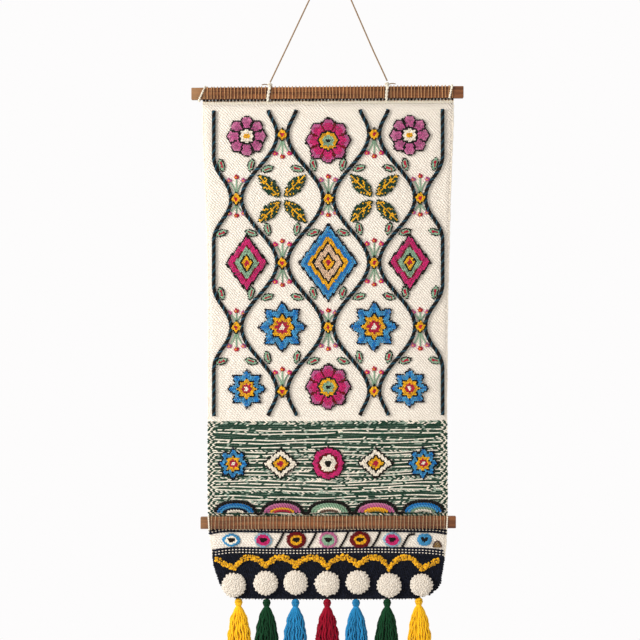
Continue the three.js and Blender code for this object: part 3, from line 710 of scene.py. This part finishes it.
# Threads right round the top batten, and down round the two cords along the cloth's edge
round_top = [(-7.4, 11.5), (-6.2, 13.2), (0, 13.3), (6.2, 13.2), (7.4, 11.5), (7.5, 0),
             (7.2, -11.5), (3.4, -14), (1.2, -17), (0, -18), (-0.8, -17), (-3, -14.4),
             (-7.2, -11.5), (-7.5, 0), (-7.4, 11.5)]
top_left, top_right = selvedges_at(SELVEDGES[0][0])
top_threads = wraps(TOP_TURNS, top_left, top_right, round_top, TOP_BATTEN["z"], 3,
                    [TIES["tie_left"][0] + 2, TIES["tie_right"][0] + 1])
heading = yarn_piece("top_wraps", top_threads, TAN_THREAD, 2.5, lay=8, step=3, sides=5)
dressed(heading, "top_heading")
edge_cords = [[(x, deep, height + 0.3 * math.sin(x / 6))
               for x in np.linspace(top_left, top_right, 90)]
              for height, deep in ((-278.6, 0.2), (-281.6, -0.3), (-284.4, -0.5))]
dressed(yarn_piece("edge_cords", edge_cords, COTTON_CORD, 4.4), "top_heading")

# Threads over the front of the lower batten, in and out of the cloth above and below it
over_lower = [(-1.2, 14.4), (-4.2, 13.8), (-12.8, 13.4), (-15.2, 11.8), (-15.6, 0), (-15.2, -11.8),
              (-12.8, -13.4), (-4.2, -13.8), (-1.2, -14.4)]
low_left, low_right = selvedges_at(LOWER_BATTEN["z"])
low_threads = wraps(LOWER_TURNS, low_left + 3, low_right - 2, over_lower, LOWER_BATTEN["z"], 5)
lacing = yarn_piece("lower_wraps", low_threads, COTTON_THREAD, 2.1, lay=7, step=3, sides=5)
dressed(lacing, "lower_lacing")
end_cords = [[(x + lean * up / 18, y - 0.3, LOWER_BATTEN["z"] + up) for y, up in over_lower]
             for x, lean in ((low_left + 0.5, -1), (low_right - 0.5, 1))]
dressed(yarn_piece("lower_end_cords", end_cords, COTTON_CORD, 3.4, lay=8, seed=13),
        "lower_lacing")


def knot(x, y, z, size, turn):
    """An overhand knot drawn tight"""
    line = []
    for t in np.linspace(0, 2 * np.pi, 40):
        u = math.sin(t) + 2 * math.sin(2 * t)
        v = math.cos(t) - 2 * math.cos(2 * t)
        w = -math.sin(3 * t) * 1.3
        line.append((x + size * (u * math.cos(turn) - w * math.sin(turn)) / 3,
                     y + size * (u * math.sin(turn) + w * math.cos(turn)) / 3, z + size * v / 3))
    line[-1] = line[0]
    return line


def round_top_batten(foot, lean, outline):
    """A smooth cord round the top batten, slanting up from its foot; outline is depth and height"""
    tall = max(up for _, up in outline)
    return smooth_line([(foot + lean * (up + tall) / (2 * tall), y, TOP_BATTEN["z"] + up)
                        for y, up in outline], 4)


TIE_DEEP = 8.8
TIE_TALL = 14.8
round_tie = [(-TIE_DEEP, 10), (-TIE_DEEP + 1.2, 13.8), (0, TIE_TALL), (TIE_DEEP - 1.2, 13.8),
             (TIE_DEEP, 10), (TIE_DEEP, -10), (TIE_DEEP - 1.6, -13.6), (0, -TIE_TALL),
             (-TIE_DEEP + 1.6, -13.6), (-TIE_DEEP, -10), (-TIE_DEEP, 10)]
for name, (foot, lean, tail) in TIES.items():
    ring = round_top_batten(foot, lean, round_tie)
    top = foot + lean
    over = knot(top, -1.5, TOP_BATTEN["z"] + TIE_TALL + 2.2, 3.7, 0.5)
    cord = yarn_piece(name + "_cord", [ring, over], COTTON_CORD, 6.4, lay=14, step=1.6, sides=8,
                      seed=11, sizes=[[1.0] * (len(ring) - 1), [0.62] * (len(over) - 1)])
    end_z = TOP_BATTEN["z"] + 16.2
    end = [(top + tail * share * 16.5, -1.5 * share, end_z + 2.2 * math.sin(share * 2.6))
           for share in np.linspace(0, 1, 8)]
    tail_piece = yarn_piece(name + "_short_end", [end], JUTE, 2.4, plies=3, lay=8, step=1.2)
    dressed(cord, name)
    dressed(tail_piece, name)


# One thicker cord that slants over each end of the top batten
round_end = [(-8.6, 9.5), (-7.2, 13), (0, 14), (7.2, 13), (8.6, 9.5), (8.6, -9.5), (6.8, -13),
             (0, -14), (-6.8, -13), (-8.6, -9.5), (-8.6, 9.5)]
corner_cords = [round_top_batten(foot, lean, round_end) for foot, lean in ((-265, 13), (236, 6))]
dressed(yarn_piece("corner_cords", corner_cords, COTTON_CORD, 4.4, lay=10, step=1.6, sides=7,
                   seed=12), "top_heading")


def put(guides, yarn, *numbers):
    """Keep a guide point by its yarn until the whole face is laid out"""
    guides.setdefault(yarn, []).append(numbers)


def grow_by_yarn(guides, kind, tree, labels, inputs):
    """A piece of each yarn on its guide points, whose numbers after the place have labels"""
    for index, yarn in enumerate(sorted(guides)):
        rows = np.array(guides[yarn], float)
        guide = guide_mesh(kind + yarn, rows[:, :3], **dict(zip(labels, rows[:, 3:].T)))
        sewn(grown(f"{kind}_{yarn}", tree, guide,
                   {**inputs, "Seed": 20 + index, "Yarn": YARNS[yarn]}))


def grow_loops(guides, kind, radius, unevenness):
    """A piece of pile of each yarn, its loops of about one radius and unevenly shaped"""
    grow_by_yarn(guides, kind, LOOP_PILE, ("size", "shade"),
                 {"Loop radius": radius * MM, "Unevenness": unevenness})


def stitch(guides, yarn, x, z, turn, long, thick, shade, lift=0.4):
    """A flat stitch, its middle a little off the face of the cloth"""
    put(guides, yarn, x, float(face_y(x, z)) - lift, z, turn, long * MM, thick * MM, shade)


def grow_stitches(guides, kind, flatness, sides=6):
    """A piece of flat stitches of each yarn"""
    grow_by_yarn(guides, kind, FLAT_STITCHES, ("turn", "long", "thick", "shade"),
                 {"Sides": sides, "Flatness": flatness})


def edge_share(kind, u, v):
    """How far a place is from a motif's middle, 1 on its outline; u and v are in half sizes"""
    angle = np.arctan2(v, u)
    out = np.hypot(u, v)
    if "rosette" in kind:
        return out / (0.93 + 0.07 * np.cos(8 * angle))
    if "star" in kind:
        return out / (0.7 + 0.3 * np.abs(np.mod(angle * 4 / np.pi, 1) * 2 - 1) ** 1.2)
    if "diamond" in kind or kind == "joint":
        return np.abs(u) + np.abs(v)
    if kind == "octagon":
        return out * np.cos(np.mod(angle, np.pi / 4) - np.pi / 8) / math.cos(math.pi / 8)
    if kind == "leaf":
        return u**2 + np.abs(v)
    return out


def motif_yarn(kind, u, v, share, rim):
    """The yarn of each loop of a motif; rim is its distance from the outline"""
    if kind == "leaf":
        vein = np.abs(np.mod((u - 0.6 * np.abs(v)) * 1.9, 1) - 0.5)
        light = (np.abs(v) < 0.1) | ((vein < 0.15) & (share < 0.8))
        return np.where(light & (rim >= 2.6), "mustard", "bottle")
    outline, wide, rings, *lines = MOTIF_YARNS[kind]
    rules = [(rim < wide, outline)]
    for start, half_wide, yarn in lines:
        eighth = np.mod(np.arctan2(v, u) * 4 / np.pi, 1)
        off = np.minimum(eighth, 1 - eighth) if "star" in kind else np.abs(eighth - 0.5)
        rules.append(((share >= start) & (off < half_wide), yarn))
    rules.extend((share < reach, yarn) for reach, yarn in rings)
    return np.select([rule for rule, _ in rules], [yarn for _, yarn in rules], "")


# Width over which a motif's edge rounds off
EDGE_ROUNDING = 7


def mound(pile, kind, x, z, wide, tall, turn=0.0, spacing=3.5, height=4.6, seed=1,
          yarns=motif_yarn):
    """Loops of pile all over a motif, lower towards its outline"""
    dice = np.random.RandomState(seed)
    half = max(wide, tall) / 2 + spacing
    across = np.arange(-half, half, spacing)
    down = np.arange(-half, half, spacing * 0.866)
    u, v = np.meshgrid(across, down)
    u = u + (np.arange(len(down))[:, None] % 2) * spacing / 2
    u = (u + dice.uniform(-0.3, 0.3, u.shape)).ravel()
    v = (v + dice.uniform(-0.3, 0.3, v.shape)).ravel()
    share = edge_share(kind, u * 2 / wide, v * 2 / tall)
    keep = share < 1
    u, v, share = u[keep], v[keep], share[keep]
    rim = (1 - share) * min(wide, tall) / 2
    names = yarns(kind, u * 2 / wide, v * 2 / tall, share, rim)
    lift = height * np.sqrt(1 - (1 - np.clip(rim / EDGE_ROUNDING, 0, 1)) ** 2)
    px = x + u * math.cos(turn) - v * math.sin(turn)
    pz = z + u * math.sin(turn) + v * math.cos(turn)
    py = face_y(px, pz) - lift
    shades = dice.uniform(0, 1, len(px)) ** 0.8
    py = py + dice.uniform(-0.5, 0.5, len(px))
    for i in range(len(px)):
        put(pile, str(names[i]), px[i], py[i], pz[i], 1.0, shades[i])


motifs = {}
for index, (kind, away, z, wide, tall) in enumerate(MOTIFS):
    for side in (-1, 1) if away else (1,):
        mound(motifs, kind, CLOTH_MIDDLE + side * away, z, wide, tall, seed=50 + index * 2 + side)
for side in (-1, 1):
    for leaf in range(4):
        turn = math.pi / 4 + leaf * math.pi / 2
        x = CLOTH_MIDDLE + side * LEAF_CROSS["away"] + LEAF_CROSS["ring"] * math.cos(turn)
        z = LEAF_CROSS["z"] + LEAF_CROSS["ring"] * math.sin(turn)
        mound(motifs, "leaf", x, z, LEAF_CROSS["long"], LEAF_CROSS["wide"], turn,
              seed=80 + leaf + side)
joints = []
for place in range(-2, 3):
    for row in range(-1, 2):
        z = LATTICE["middle"] + (row + (0 if place % 2 else 0.5)) * LATTICE["repeat"]
        if LATTICE["bottom"] < z < LATTICE["top"]:
            joints.append((CLOTH_MIDDLE + place * LATTICE["pitch"], z, place % 2 == 1))
            mound(motifs, "joint", *joints[-1][:2], JOINT, JOINT, spacing=3.1, height=5,
                  seed=90 + place)
grow_loops(motifs, "tufted", 2.05, 0.24)


def lattice_lines():
    """The lattice's cords swing to and fro, each against its neighbours"""
    lines = []
    for place, way in LATTICE_CORDS:
        z = np.linspace(LATTICE["top"], LATTICE["bottom"], 130)
        phase = 2 * np.pi * (z - LATTICE["middle"]) / LATTICE["repeat"]
        x = place * LATTICE["pitch"] + way * LATTICE["swing"] * np.cos(phase)
        x = CLOTH_MIDDLE + np.clip(x, -LATTICE_REACH, LATTICE_REACH)
        # The outermost cords ease into their straight runs
        x = np.convolve(np.pad(x, 4, mode="edge"), np.ones(9) / 9, mode="valid")
        lines.append(on_face(x, z, 2.6))
    return lines


def leaf_yarn(kind, u, v, share, rim):
    """A dark outline, a sage leaf and a crimson vein"""
    vein = (np.abs(v) < 0.2) & (np.abs(u) < 0.45)
    return np.select([rim < 2.5, vein], ["black", "crimson"], "sage")


def vine_leaves(pile):
    """Small leaves in pairs, one on either side of each cord, where it crosses its cell"""
    for cord, (place, way) in enumerate(LATTICE_CORDS):
        for quarter in (-3, -1, 1, 3):
            z = LATTICE["middle"] + quarter * LATTICE["repeat"] / 4
            leans = way * (1 if quarter % 4 == 1 else -1)
            left, right = (edge - side * VINE_LEAF["long"] / 2
                           for edge, side in zip(selvedges_at(z), (-1, 1)))
            for side in (-1, 1):
                x = CLOTH_MIDDLE + place * LATTICE["pitch"] + side * VINE_LEAF["away"]
                if left < x < right:
                    mound(pile, "leaf", x, z + side * leans * 4, VINE_LEAF["long"],
                          VINE_LEAF["wide"], math.pi / 2 + 0.75 * leans - 0.5 * side,
                          spacing=2.7, height=3.4, seed=140 + cord, yarns=leaf_yarn)


leaves = {}
vine_leaves(leaves)
grow_loops(leaves, "vine_leaf", 1.75, 0.2)


# Three plies to a cord, two nearly black and one dark teal
lattice = lattice_lines()
for name, yarn, plies, first in (("lattice_dark_plies", "black", 2, 0.0),
                                 ("lattice_teal_ply", "teal", 1, 4 * math.pi / 3)):
    sewn(yarn_piece(name, lattice, YARNS[yarn], 8.4, plies, lay=16, step=2.1, of_plies=3,
                    first=first))

# Thin sage sprigs that fan out above and below each joint
sprigs = []
buds = {}
for x, z, odd in joints:
    for way in (-1, 1):
        # Nearer to the middle the great diamonds leave less room
        reach = 33 if odd or (z - LATTICE["middle"]) * way > 0 else 22
        if not LATTICE["bottom"] + 4 < z + way * (reach + 13) < LATTICE["top"] - 4:
            continue
        for fan in (-1, 0, 1):
            t = np.linspace(0, 1, 12)
            px = x + fan * (2.2 + 12 * t**1.7)
            pz = z + way * (11 + reach * t * (1 - 0.2 * abs(fan)))
            sprigs.append(on_face(px, pz, 0.9))
            bud = "crimson" if fan == 0 else "magenta" if odd else "mauve"
            mound(buds, "oval", float(px[-1]), float(pz[-1]), 9, 9, spacing=2.6, height=3, seed=7,
                  yarns=lambda kind, u, v, share, rim: np.where(share < 0.3, "mustard", bud))
sewn(yarn_piece("sage_sprigs", sprigs, YARNS["sage"], 3.4, lay=8, sides=5, seed=4))
grow_loops(buds, "bud", 1.75, 0.2)

# The striped band, one letter to a row from the top: plain Green, mostly green, cream, mixed
BAND_ROWS = "mmgGgcgcGGgcgcgGcgmcgcmgcgcgGcgmcgcgmmcgcGcgcmgGcgcgmcgcGGcgm"
BAND_PITCH = 3.1
BAND_STITCH_APART = 4.8
BAND_STITCH_LONG = 7.8
YARN_SHARES = {
    "G": (("bottle", 0.97), ("heather", 1.0)),
    "g": (("bottle", 0.86), ("heather", 0.96), ("cream", 1.0)),
    "c": (("cream", 0.86), ("heather", 0.93), ("bottle", 1.0)),
    "m": (("heather", 0.34), ("cream", 0.44), ("bottle", 0.6), ("by turns", 1.0)),
}
band = {}
dice = np.random.RandomState(31)
in_band = [(CLOTH_MIDDLE + side * away, z, wide, tall, kind)
           for kind, away, z, wide, tall in MOTIFS if z == BAND_MOTIFS_Z for side in (-1, 1)]
for row, letter in enumerate(BAND_ROWS):
    base = BAND_TOP - 2.6 - row * BAND_PITCH
    left, right = selvedges_at(base)
    slant = (0.45 if letter == "m" else 0.1) * (1 if row % 3 else -1)
    shift = dice.uniform(0, 3)
    for number, x in enumerate(np.arange(left + 1 + shift, right - 1, BAND_STITCH_APART)):
        x = x + dice.uniform(-0.4, 0.4)
        sag = -2.6 + 3.4 * ((x + 30) / 250) ** 2 + 1.5 * math.sin(x / 52 + row * 0.11)
        sag += 0.8 * math.sin(x / 19 + row * 0.9)
        z = base + sag * min(1, (row + 1) / 8) + 1.5
        if z < BAND_FOOT - 4:
            continue
        z = max(z, BAND_FOOT + 2.8)
        if any(edge_share(kind, (x - mx) * 2 / wide, (z - mz) * 2 / tall) < 0.85
               for mx, mz, wide, tall, kind in in_band):
            continue
        roll = dice.uniform()
        yarn = next(name for name, limit in YARN_SHARES[letter] if roll <= limit)
        near = min(x - left, right - x)
        if yarn == "by turns" or near < 14:
            yarn = "cream" if (number + row // 2) % 2 else "bottle"
        # Stitches fan out where the weft turns back at the selvedges
        fan = 0.75 * max(0, 1 - near / 20) * (1 if row % 2 else -1) * (1 if x > 0 else -1)
        turn = slant + fan + dice.uniform(-0.08, 0.08)
        thick = 2.7 if yarn == "cream" or letter == "m" else 3.1
        long = BAND_STITCH_LONG + dice.uniform(-0.8, 0.8)
        stitch(band, yarn, x, z, turn, long, thick, dice.uniform(0, 1))
grow_stitches(band, "band_stitch", 0.75, sides=5)

# Dark scalloped outline over the arches, and rows of yarn inside each one
arch_lines = {}
outline = []
for arch in range(5):
    middle = ARCHES["from"] + arch * ARCHES["pitch"]
    for angle in np.linspace(math.pi, 0, 22):
        outline.append((middle + (ARCHES["half"] + 2) * math.cos(angle),
                        ARCHES["foot"] + (ARCHES["rise"] + 0.5) * math.sin(angle) ** 0.85))
    if arch < 4:
        edge = middle + ARCHES["half"] + 2
        gap = ARCHES["pitch"] - 2 * ARCHES["half"] - 4
        for share in np.linspace(0.2, 0.8, 4):
            outline.append((edge + gap * share, ARCHES["foot"] - 3.2 * math.sin(math.pi * share)))
    for inner, yarn in enumerate(ARCH_YARNS[arch]):
        half = ARCHES["half"] - 3.4 - inner * 6.2
        rise = ARCHES["rise"] - 4.4 - inner * 4.2
        line = [(middle + half * math.cos(angle), ARCHES["foot"] - 1 + rise * math.sin(angle))
                for angle in np.linspace(math.pi, 0, 16)]
        arch_lines.setdefault(yarn, []).append(line)
arch_lines["black"] = [outline]
for yarn, flat_lines in arch_lines.items():
    thick = 7.4 if yarn == "black" else 6.2
    lines = [on_face(*np.transpose(line), thick / 2.4) for line in flat_lines]
    sewn(yarn_piece("arch_yarn_" + yarn, lines, YARNS[yarn], thick, lay=11))

# Running stitches in rows above and below the medallions, with small dots of cream between rows.
# Height of each row, and whether dots lie under it
RUNNING_ROWS = [
    (-1136.4, True), (-1141.8, False), (-1176.4, True), (-1181.8, True), (-1187.2, False),
]
RUNNING_STITCH_APART = 6.8
running = {}
dice = np.random.RandomState(41)
for base, dotted in RUNNING_ROWS:
    left, right = selvedges_at(base)
    # Depth and reach of the droop at each end of the row
    fall, reach = (6, 60) if base < MEDALLIONS_Z else (5, 40)
    for x in np.arange(-241.4, right - 2, RUNNING_STITCH_APART):
        near = min(x - left, right - x)
        if near < 2:
            continue
        droop = fall * max(0, 1 - near / reach) ** 2
        z = base - droop + 1.2 * math.sin(x / 45)
        turn = dice.uniform(-0.1, 0.1)
        stitch(running, "navy", x, z, turn, 9.2, 5.8, dice.uniform(0, 1), 1.2)
        if dotted:
            stitch(running, "cream", x + RUNNING_STITCH_APART / 2, z - 2.7, turn, 3.9, 2.1,
                   dice.uniform(0.3, 1), 2.2)
# Little stitches over the hem's edge
HEM_STITCH_APART = 6.4
for x in np.arange(-190, 172, HEM_STITCH_APART):
    stitch(running, "cream" if int(x / HEM_STITCH_APART) % 4 == 0 else "black", x, hem_at(x) + 0.6,
           math.pi / 2 + dice.uniform(-0.4, 0.4), 5.4, 2.6, dice.uniform(0, 1), 0)
grow_stitches(running, "running_stitch", 0.6)

# Medallions, finer than the other pile, with slanting strokes between them
medallions = {}
for index, (x, wide, tall, rim_wide, rim_yarn, field_yarn) in enumerate(MEDALLIONS):
    def medallion_yarn(kind, u, v, share, rim):
        """The rim, and a small black heart in the field"""
        hu, hv = u * wide / 2 / 6.6, (v * tall / 2 + 0.6) / 4.6
        heart = (hu**2 + hv**2 - 1) ** 3 - hu**2 * hv**3 < 0
        return np.select([rim < rim_wide, heart], [rim_yarn, "black"], field_yarn)

    mound(medallions, "oval", x, MEDALLIONS_Z, wide, tall, spacing=2.5, height=3.6,
          seed=120 + index, yarns=medallion_yarn)
grow_loops(medallions, "medallion", 1.7, 0.18)
strokes = []
places = [row[0] for row in MEDALLIONS]
for left, right in zip(places[1:], places[2:]):
    t = np.linspace(0, 1, 9)
    px = (left + right) / 2 - 9 + 17 * t + 1.5 * np.sin(t * 3)
    pz = MEDALLIONS_Z - 15.5 + 32 * t
    if right == places[-1]:
        # The last stroke turns aside at its top
        px = (left + right) / 2 + np.interp(t, [0, 0.65, 0.75, 1], [-13, 0, 3, 13])
        pz = MEDALLIONS_Z + np.interp(t, [0, 0.65, 0.75, 1], [-15, 8, 10, 11])
    strokes.append(on_face(px, pz, 1.2))
sewn(yarn_piece("slanting_strokes", strokes, YARNS["black"], 5.7, step=1.6, seed=6))

# A small brown arch at the right end of the row
small_arch = {}
for yarn, half, rise in (("umber", 8.2, 13), ("olive", 5, 9), ("olive", 2, 5)):
    angle = np.linspace(math.pi, 0, 12)
    px = 212.5 + half * np.cos(angle)
    pz = MEDALLIONS_Z - 16 + rise * np.sin(angle) ** 1.3
    small_arch.setdefault(yarn, []).append(on_face(px, pz, 1.2))
for yarn, lines in small_arch.items():
    sewn(yarn_piece("small_arch_" + yarn, lines, YARNS[yarn], 3.8, step=1.6))


def scallop_line():
    """One line of scallops: a valley over each pompom and a crest between two"""
    valleys = [(x, z + POMPOM_ACROSS * size / 2 + 8) for x, z, size in POMPOMS]
    line = [(valleys[0][0] - 36, valleys[0][1] + 18), valleys[0]]
    for (from_x, from_z), (to_x, to_z) in zip(valleys, valleys[1:]):
        for share in np.linspace(0, 1, 9)[1:]:
            foot = from_z + (to_z - from_z) * share
            line.append((from_x + (to_x - from_x) * share,
                         foot + (SCALLOP_CREST - foot) * math.sin(math.pi * share) ** 0.8
                         if share < 1 else to_z))
    line.append((valleys[-1][0] + 36, valleys[-1][1] + 18))
    return np.array(line)


# Chunky loops along the scallops, three across, and low navy pile over the rest of the hem panel
hem_pile = {}
chunky = {}
dice = np.random.RandomState(61)
scallops = scallop_line()
lengths = np.concatenate([[0], np.cumsum(np.linalg.norm(np.diff(scallops, axis=0), axis=1))])
for at in np.arange(0, lengths[-1], 4.3):
    x = np.interp(at, lengths, scallops[:, 0])
    z = np.interp(at, lengths, scallops[:, 1])
    for across in (-4, 0, 4):
        pz = z + across + dice.uniform(-1.4, 1.4)
        px = x + dice.uniform(-1.2, 1.2)
        lift = (4.4 if across == 0 else 2.6) + dice.uniform(-0.8, 0.8)
        put(chunky, "mustard", px, float(face_y(px, pz)) - lift, pz, dice.uniform(0.8, 1.15),
            dice.uniform(0, 1))
grow_loops(chunky, "scallop_loops", 2.9, 0.3)
for row, z in enumerate(np.arange(HEM + 2, NAVY_TOP - 3, 3.1)):
    left, right = selvedges_at(z)
    for x in np.arange(left + 1 + (row % 2) * 1.8, right - 1, 3.6):
        if any(math.hypot(x - px, z - pz) < POMPOM_ACROSS * size * 0.42
               for px, pz, size in POMPOMS):
            continue
        droop = 4 * max(0, 1 - min(x - left, right - x) / 60) ** 2
        if z > NAVY_TOP - 4 - droop:
            continue
        put(hem_pile, "navy", x + dice.uniform(-0.4, 0.4), float(face_y(x, z)) - 0.9, z, 1.0,
            dice.uniform(0, 1))
grow_loops(hem_pile, "hem_pile", 2.1, 0.2)

# The back of the tufting and of the couched cords: flat stitches in the same yarns
backs = {}
behind = -CLOTH_THICK - GAP
dice = np.random.RandomState(25)
for pile, long, thick in ((motifs, 8.6, 4), (medallions, 6, 3), (chunky, 8, 4)):
    for yarn, rows in pile.items():
        for x, _, z, _, shade in rows[::3]:
            stitch(backs, yarn, x, z, dice.uniform(-0.15, 0.15), long, thick, shade, behind)
for line in lattice:
    for (x, _, z), (next_x, _, next_z) in zip(line[::2], line[1::2]):
        stitch(backs, "black", x, z, math.atan2(next_z - z, next_x - x), 5.5, 2.4,
               dice.uniform(0, 1), behind)
grow_stitches(backs, "back_stitch", 0.5, sides=4)

# Small turns of weft along both selvedges
TURNS_APART = 4.6
selvedge = {}
dice = np.random.RandomState(71)
for z in np.arange(HEM + 8, CLOTH_TOP, TURNS_APART):
    for side, index in ((-1, 1), (1, 2)):
        x = float(column(z, index)) - side * 0.6
        if BAND_FOOT < z < BAND_TOP:
            yarn = "cream" if int(z / TURNS_APART) % 2 else "bottle"
        elif z < NAVY_TOP - 5:
            yarn = "navy"
        else:
            yarn = "cream"
        put(selvedge, yarn, x, float(cloth_y(x, z)) - 0.4, z + dice.uniform(-0.5, 0.5),
            dice.uniform(0.85, 1.15), dice.uniform(0.2, 0.9))
# Black nubs between the threads in the gap under the top batten, dark yarn that stands in for the
# shade in that gap: painted shade
for x in np.linspace(top_left + 3, top_right - 3, TOP_TURNS):
    put(selvedge, "black", x, -6.6, -277.8, dice.uniform(1.05, 1.2), dice.uniform(0, 0.4))
grow_loops(selvedge, "selvedge_turns", 2.5, 0.15)


def dome(x, z, size):
    """A low closed dome with a lobed rim, under a pompom's loops: its points and faces"""
    radius = POMPOM_ACROSS * size / 2 - 2.4
    rim = [float(face_y(x + radius * math.cos(a), z + radius * math.sin(a)))
           for a in (0, math.pi / 2, math.pi, 3 * math.pi / 2)]
    back = min(float(face_y(x, z)), *rim) - GAP
    # Reach and height of each ring, in shares of the radius and of the depth
    rings = [(0.86, 0.02), (0.98, 0.2), (0.98, 0.4), (0.86, 0.62), (0.62, 0.78), (0.32, 0.86)]
    sides = 60
    points = [(x, back, z)]
    for out, up in rings:
        for side in range(sides):
            angle = 2 * math.pi * side / sides
            lobes = 0.07 * math.cos(20 * angle) + 0.02 * math.cos(5 * angle + size * 40)
            reach = out * radius * (1 + lobes)
            points.append((x + reach * math.cos(angle), back - up * (POMPOM_DEEP - 1.5),
                           z + reach * math.sin(angle)))
    points.append((x, back - 0.9 * (POMPOM_DEEP - 1.5), z))
    faces = [(0, 1 + i, 1 + (i + 1) % sides) for i in range(sides)]
    faces.extend(skin(len(rings), sides, first=1))
    start = 1 + (len(rings) - 1) * sides
    faces.extend((start + i, len(points) - 1, start + (i + 1) % sides) for i in range(sides))
    return points, faces


for number, (x, z, size) in enumerate(POMPOMS, 1):
    points, faces = dome(x, z, size)
    guide = guide_mesh(f"pompom_{number}_dome", points, faces=faces, shade=[0.6] * len(points))
    piece = grown(f"pompom_{number}_loops", POMPOM_LOOPS, guide, {
        "Loop radius": 2.3 * MM, "Loop spacing": 2.9 * MM, "Seed": 200 + number,
        "Yarn": YARNS["pompom"]})
    dressed(piece, f"pompom_{number}")


def tassel_lines(x, lean, seed):
    """Strands of one tassel, over its round head, in at the neck and down the skirt, each with
    its shade: painted shade makes them darker further in"""
    dice = np.random.RandomState(seed)
    hem = hem_at(x)
    top = np.array([x, float(cloth_y(x, hem)), hem - GAP])
    lines, shades, sizes = [], [], []
    # Each layer: its count, its reach, its painted shade, lower the deeper it lies, and its
    # thickness
    for count, reach, shade, full in ((22, 1.0, 0.3, 1), (18, 0.7, 0, 1.35), (11, 0.38, -0.2, 1.6)):
        for index in range(count):
            angle = 2 * math.pi * (index + dice.uniform(-0.35, 0.35)) / count
            long = TASSEL_LONG + dice.uniform(-7, 3)
            wave = dice.uniform(0.8, 2)
            repeat = dice.uniform(17, 32)
            phase = dice.uniform(0, 6.28)
            line = []
            if reach == 1:
                for down, radius in ((0.6, 2), (1.8, 4.6), (4.4, 6.4), (7.6, 6.8), (10.8, 6.2),
                                     (13.4, 4.2)):
                    line.append((radius * math.cos(angle), radius * math.sin(angle), -down))
            for down in np.linspace(TASSEL_NECK, long, 22):
                share = (down - TASSEL_NECK) / (long - TASSEL_NECK)
                spread = np.interp(share, [0, 0.05, 0.2, 0.5, 1], [0.1, 0.3, 0.61, 0.88, 1])
                sway = wave * min(1, share * 5) * math.sin(2 * math.pi * down / repeat + phase)
                wide = TASSEL_HALF_WIDE * spread
                deep = 2.6 if share == 0 else TASSEL_HALF_DEEP * spread + 2 * (1 - spread)
                line.append((reach * wide * math.cos(angle) + sway + lean * share,
                             reach * deep * math.sin(angle) + 0.6 * sway, -down))
            lines.append(np.array(line) + top)
            shades.append(shade + dice.uniform(0, 0.7))
            sizes.append([full] * len(line))
    for index in range(6):
        angle = 2 * math.pi * index / 6 + dice.uniform(-0.4, 0.4)
        loop = [((1.5 + 2.6 * math.sin(t) + 1.6 * t / 3) * math.cos(angle),
                 (1.5 + 2.6 * math.sin(t)) * math.sin(angle), -3.4 + 4.4 * math.sin(t * 0.9))
                for t in np.linspace(0, math.pi, 8)]
        lines.append(np.array(loop) + top)
        shades.append(dice.uniform(0.3, 1))
        sizes.append([1] * len(loop))
    binding = []
    for down in (TASSEL_NECK - 1.6, TASSEL_NECK, TASSEL_NECK + 1.6):
        ring = [(4.8 * math.cos(a), 4.8 * math.sin(a), -down + 0.4 * math.sin(a))
                for a in np.linspace(0, 2 * math.pi, 17)]
        ring[-1] = ring[0]
        binding.append(np.array(ring) + top)
    return lines, shades, sizes, binding


for number, (x, yarn, lean) in enumerate(TASSELS, 1):
    lines, shades, sizes, binding = tassel_lines(x, lean, 300 + number)
    strands = yarn_piece(f"tassel_{number}_strands", lines, YARNS[yarn], 3.5, plies=1, lay=20,
                         step=4.6, sides=5, sizes=sizes, shades=shades)
    # One more length of the same yarn binds the neck, its raised shade a painted highlight
    neck = yarn_piece(f"tassel_{number}_binding", binding, YARNS[yarn], 1.9, plies=1, lay=20,
                      shades=[1.2] * len(binding))
    for piece in (strands, neck):
        dressed(piece, f"tassel_{number}")

# Plain pale floor under the tassels, and plain soft studio light from the upper left
floor_mesh = bpy.data.meshes.new("floor")
floor_mesh.from_pydata([(-2, -2.6, -1.85), (2, -2.6, -1.85), (2, 0.9, -1.85), (-2, 0.9, -1.85)],
                       [], [(0, 1, 2, 3)])
floor_mesh.materials.append(plastered("matt_painted_floor", "#E8E6E2"))
placed("floor", floor_mesh)

world = bpy.data.worlds.new("pale_studio")
world.use_nodes = True
# Palest behind the hanging, dimmer in front, so that the softbox models the pile
sky = world.node_tree
way = add(sky, "ShaderNodeSeparateXYZ", [add(sky, "ShaderNodeTexCoord").outputs["Generated"]])
glow = add(sky, "ShaderNodeMapRange", {
    "Value": way.outputs["Y"], "From Min": -0.2, "From Max": 0.7, "To Min": 0.68, "To Max": 1})
feed(sky.nodes["Background"], {"Color": linear("#FDFCFC"), "Strength": glow})
bpy.context.scene.world = world


def softbox(name, place, target, size, power):
    """A large soft light that faces a point"""
    light = bpy.data.lights.new(name, "AREA")
    light.shape = "SQUARE"
    light.size = size
    light.energy = power
    lamp = placed(name, light)
    lamp.location = place
    way = np.array(target) - np.array(place)
    flat = math.hypot(way[0], way[1])
    lamp.rotation_euler = (math.atan2(flat, -way[2]), 0, math.atan2(way[1], way[0]) - math.pi / 2)


softbox("window", (-2.3, -1.7, 0.0), (0, 0, -0.8), 0.9, 84)
softbox("fill", (2.0, -2.6, -0.6), (0, 0, -0.8), 2.0, 8)
bpy.context.scene.view_settings.view_transform = "Standard"
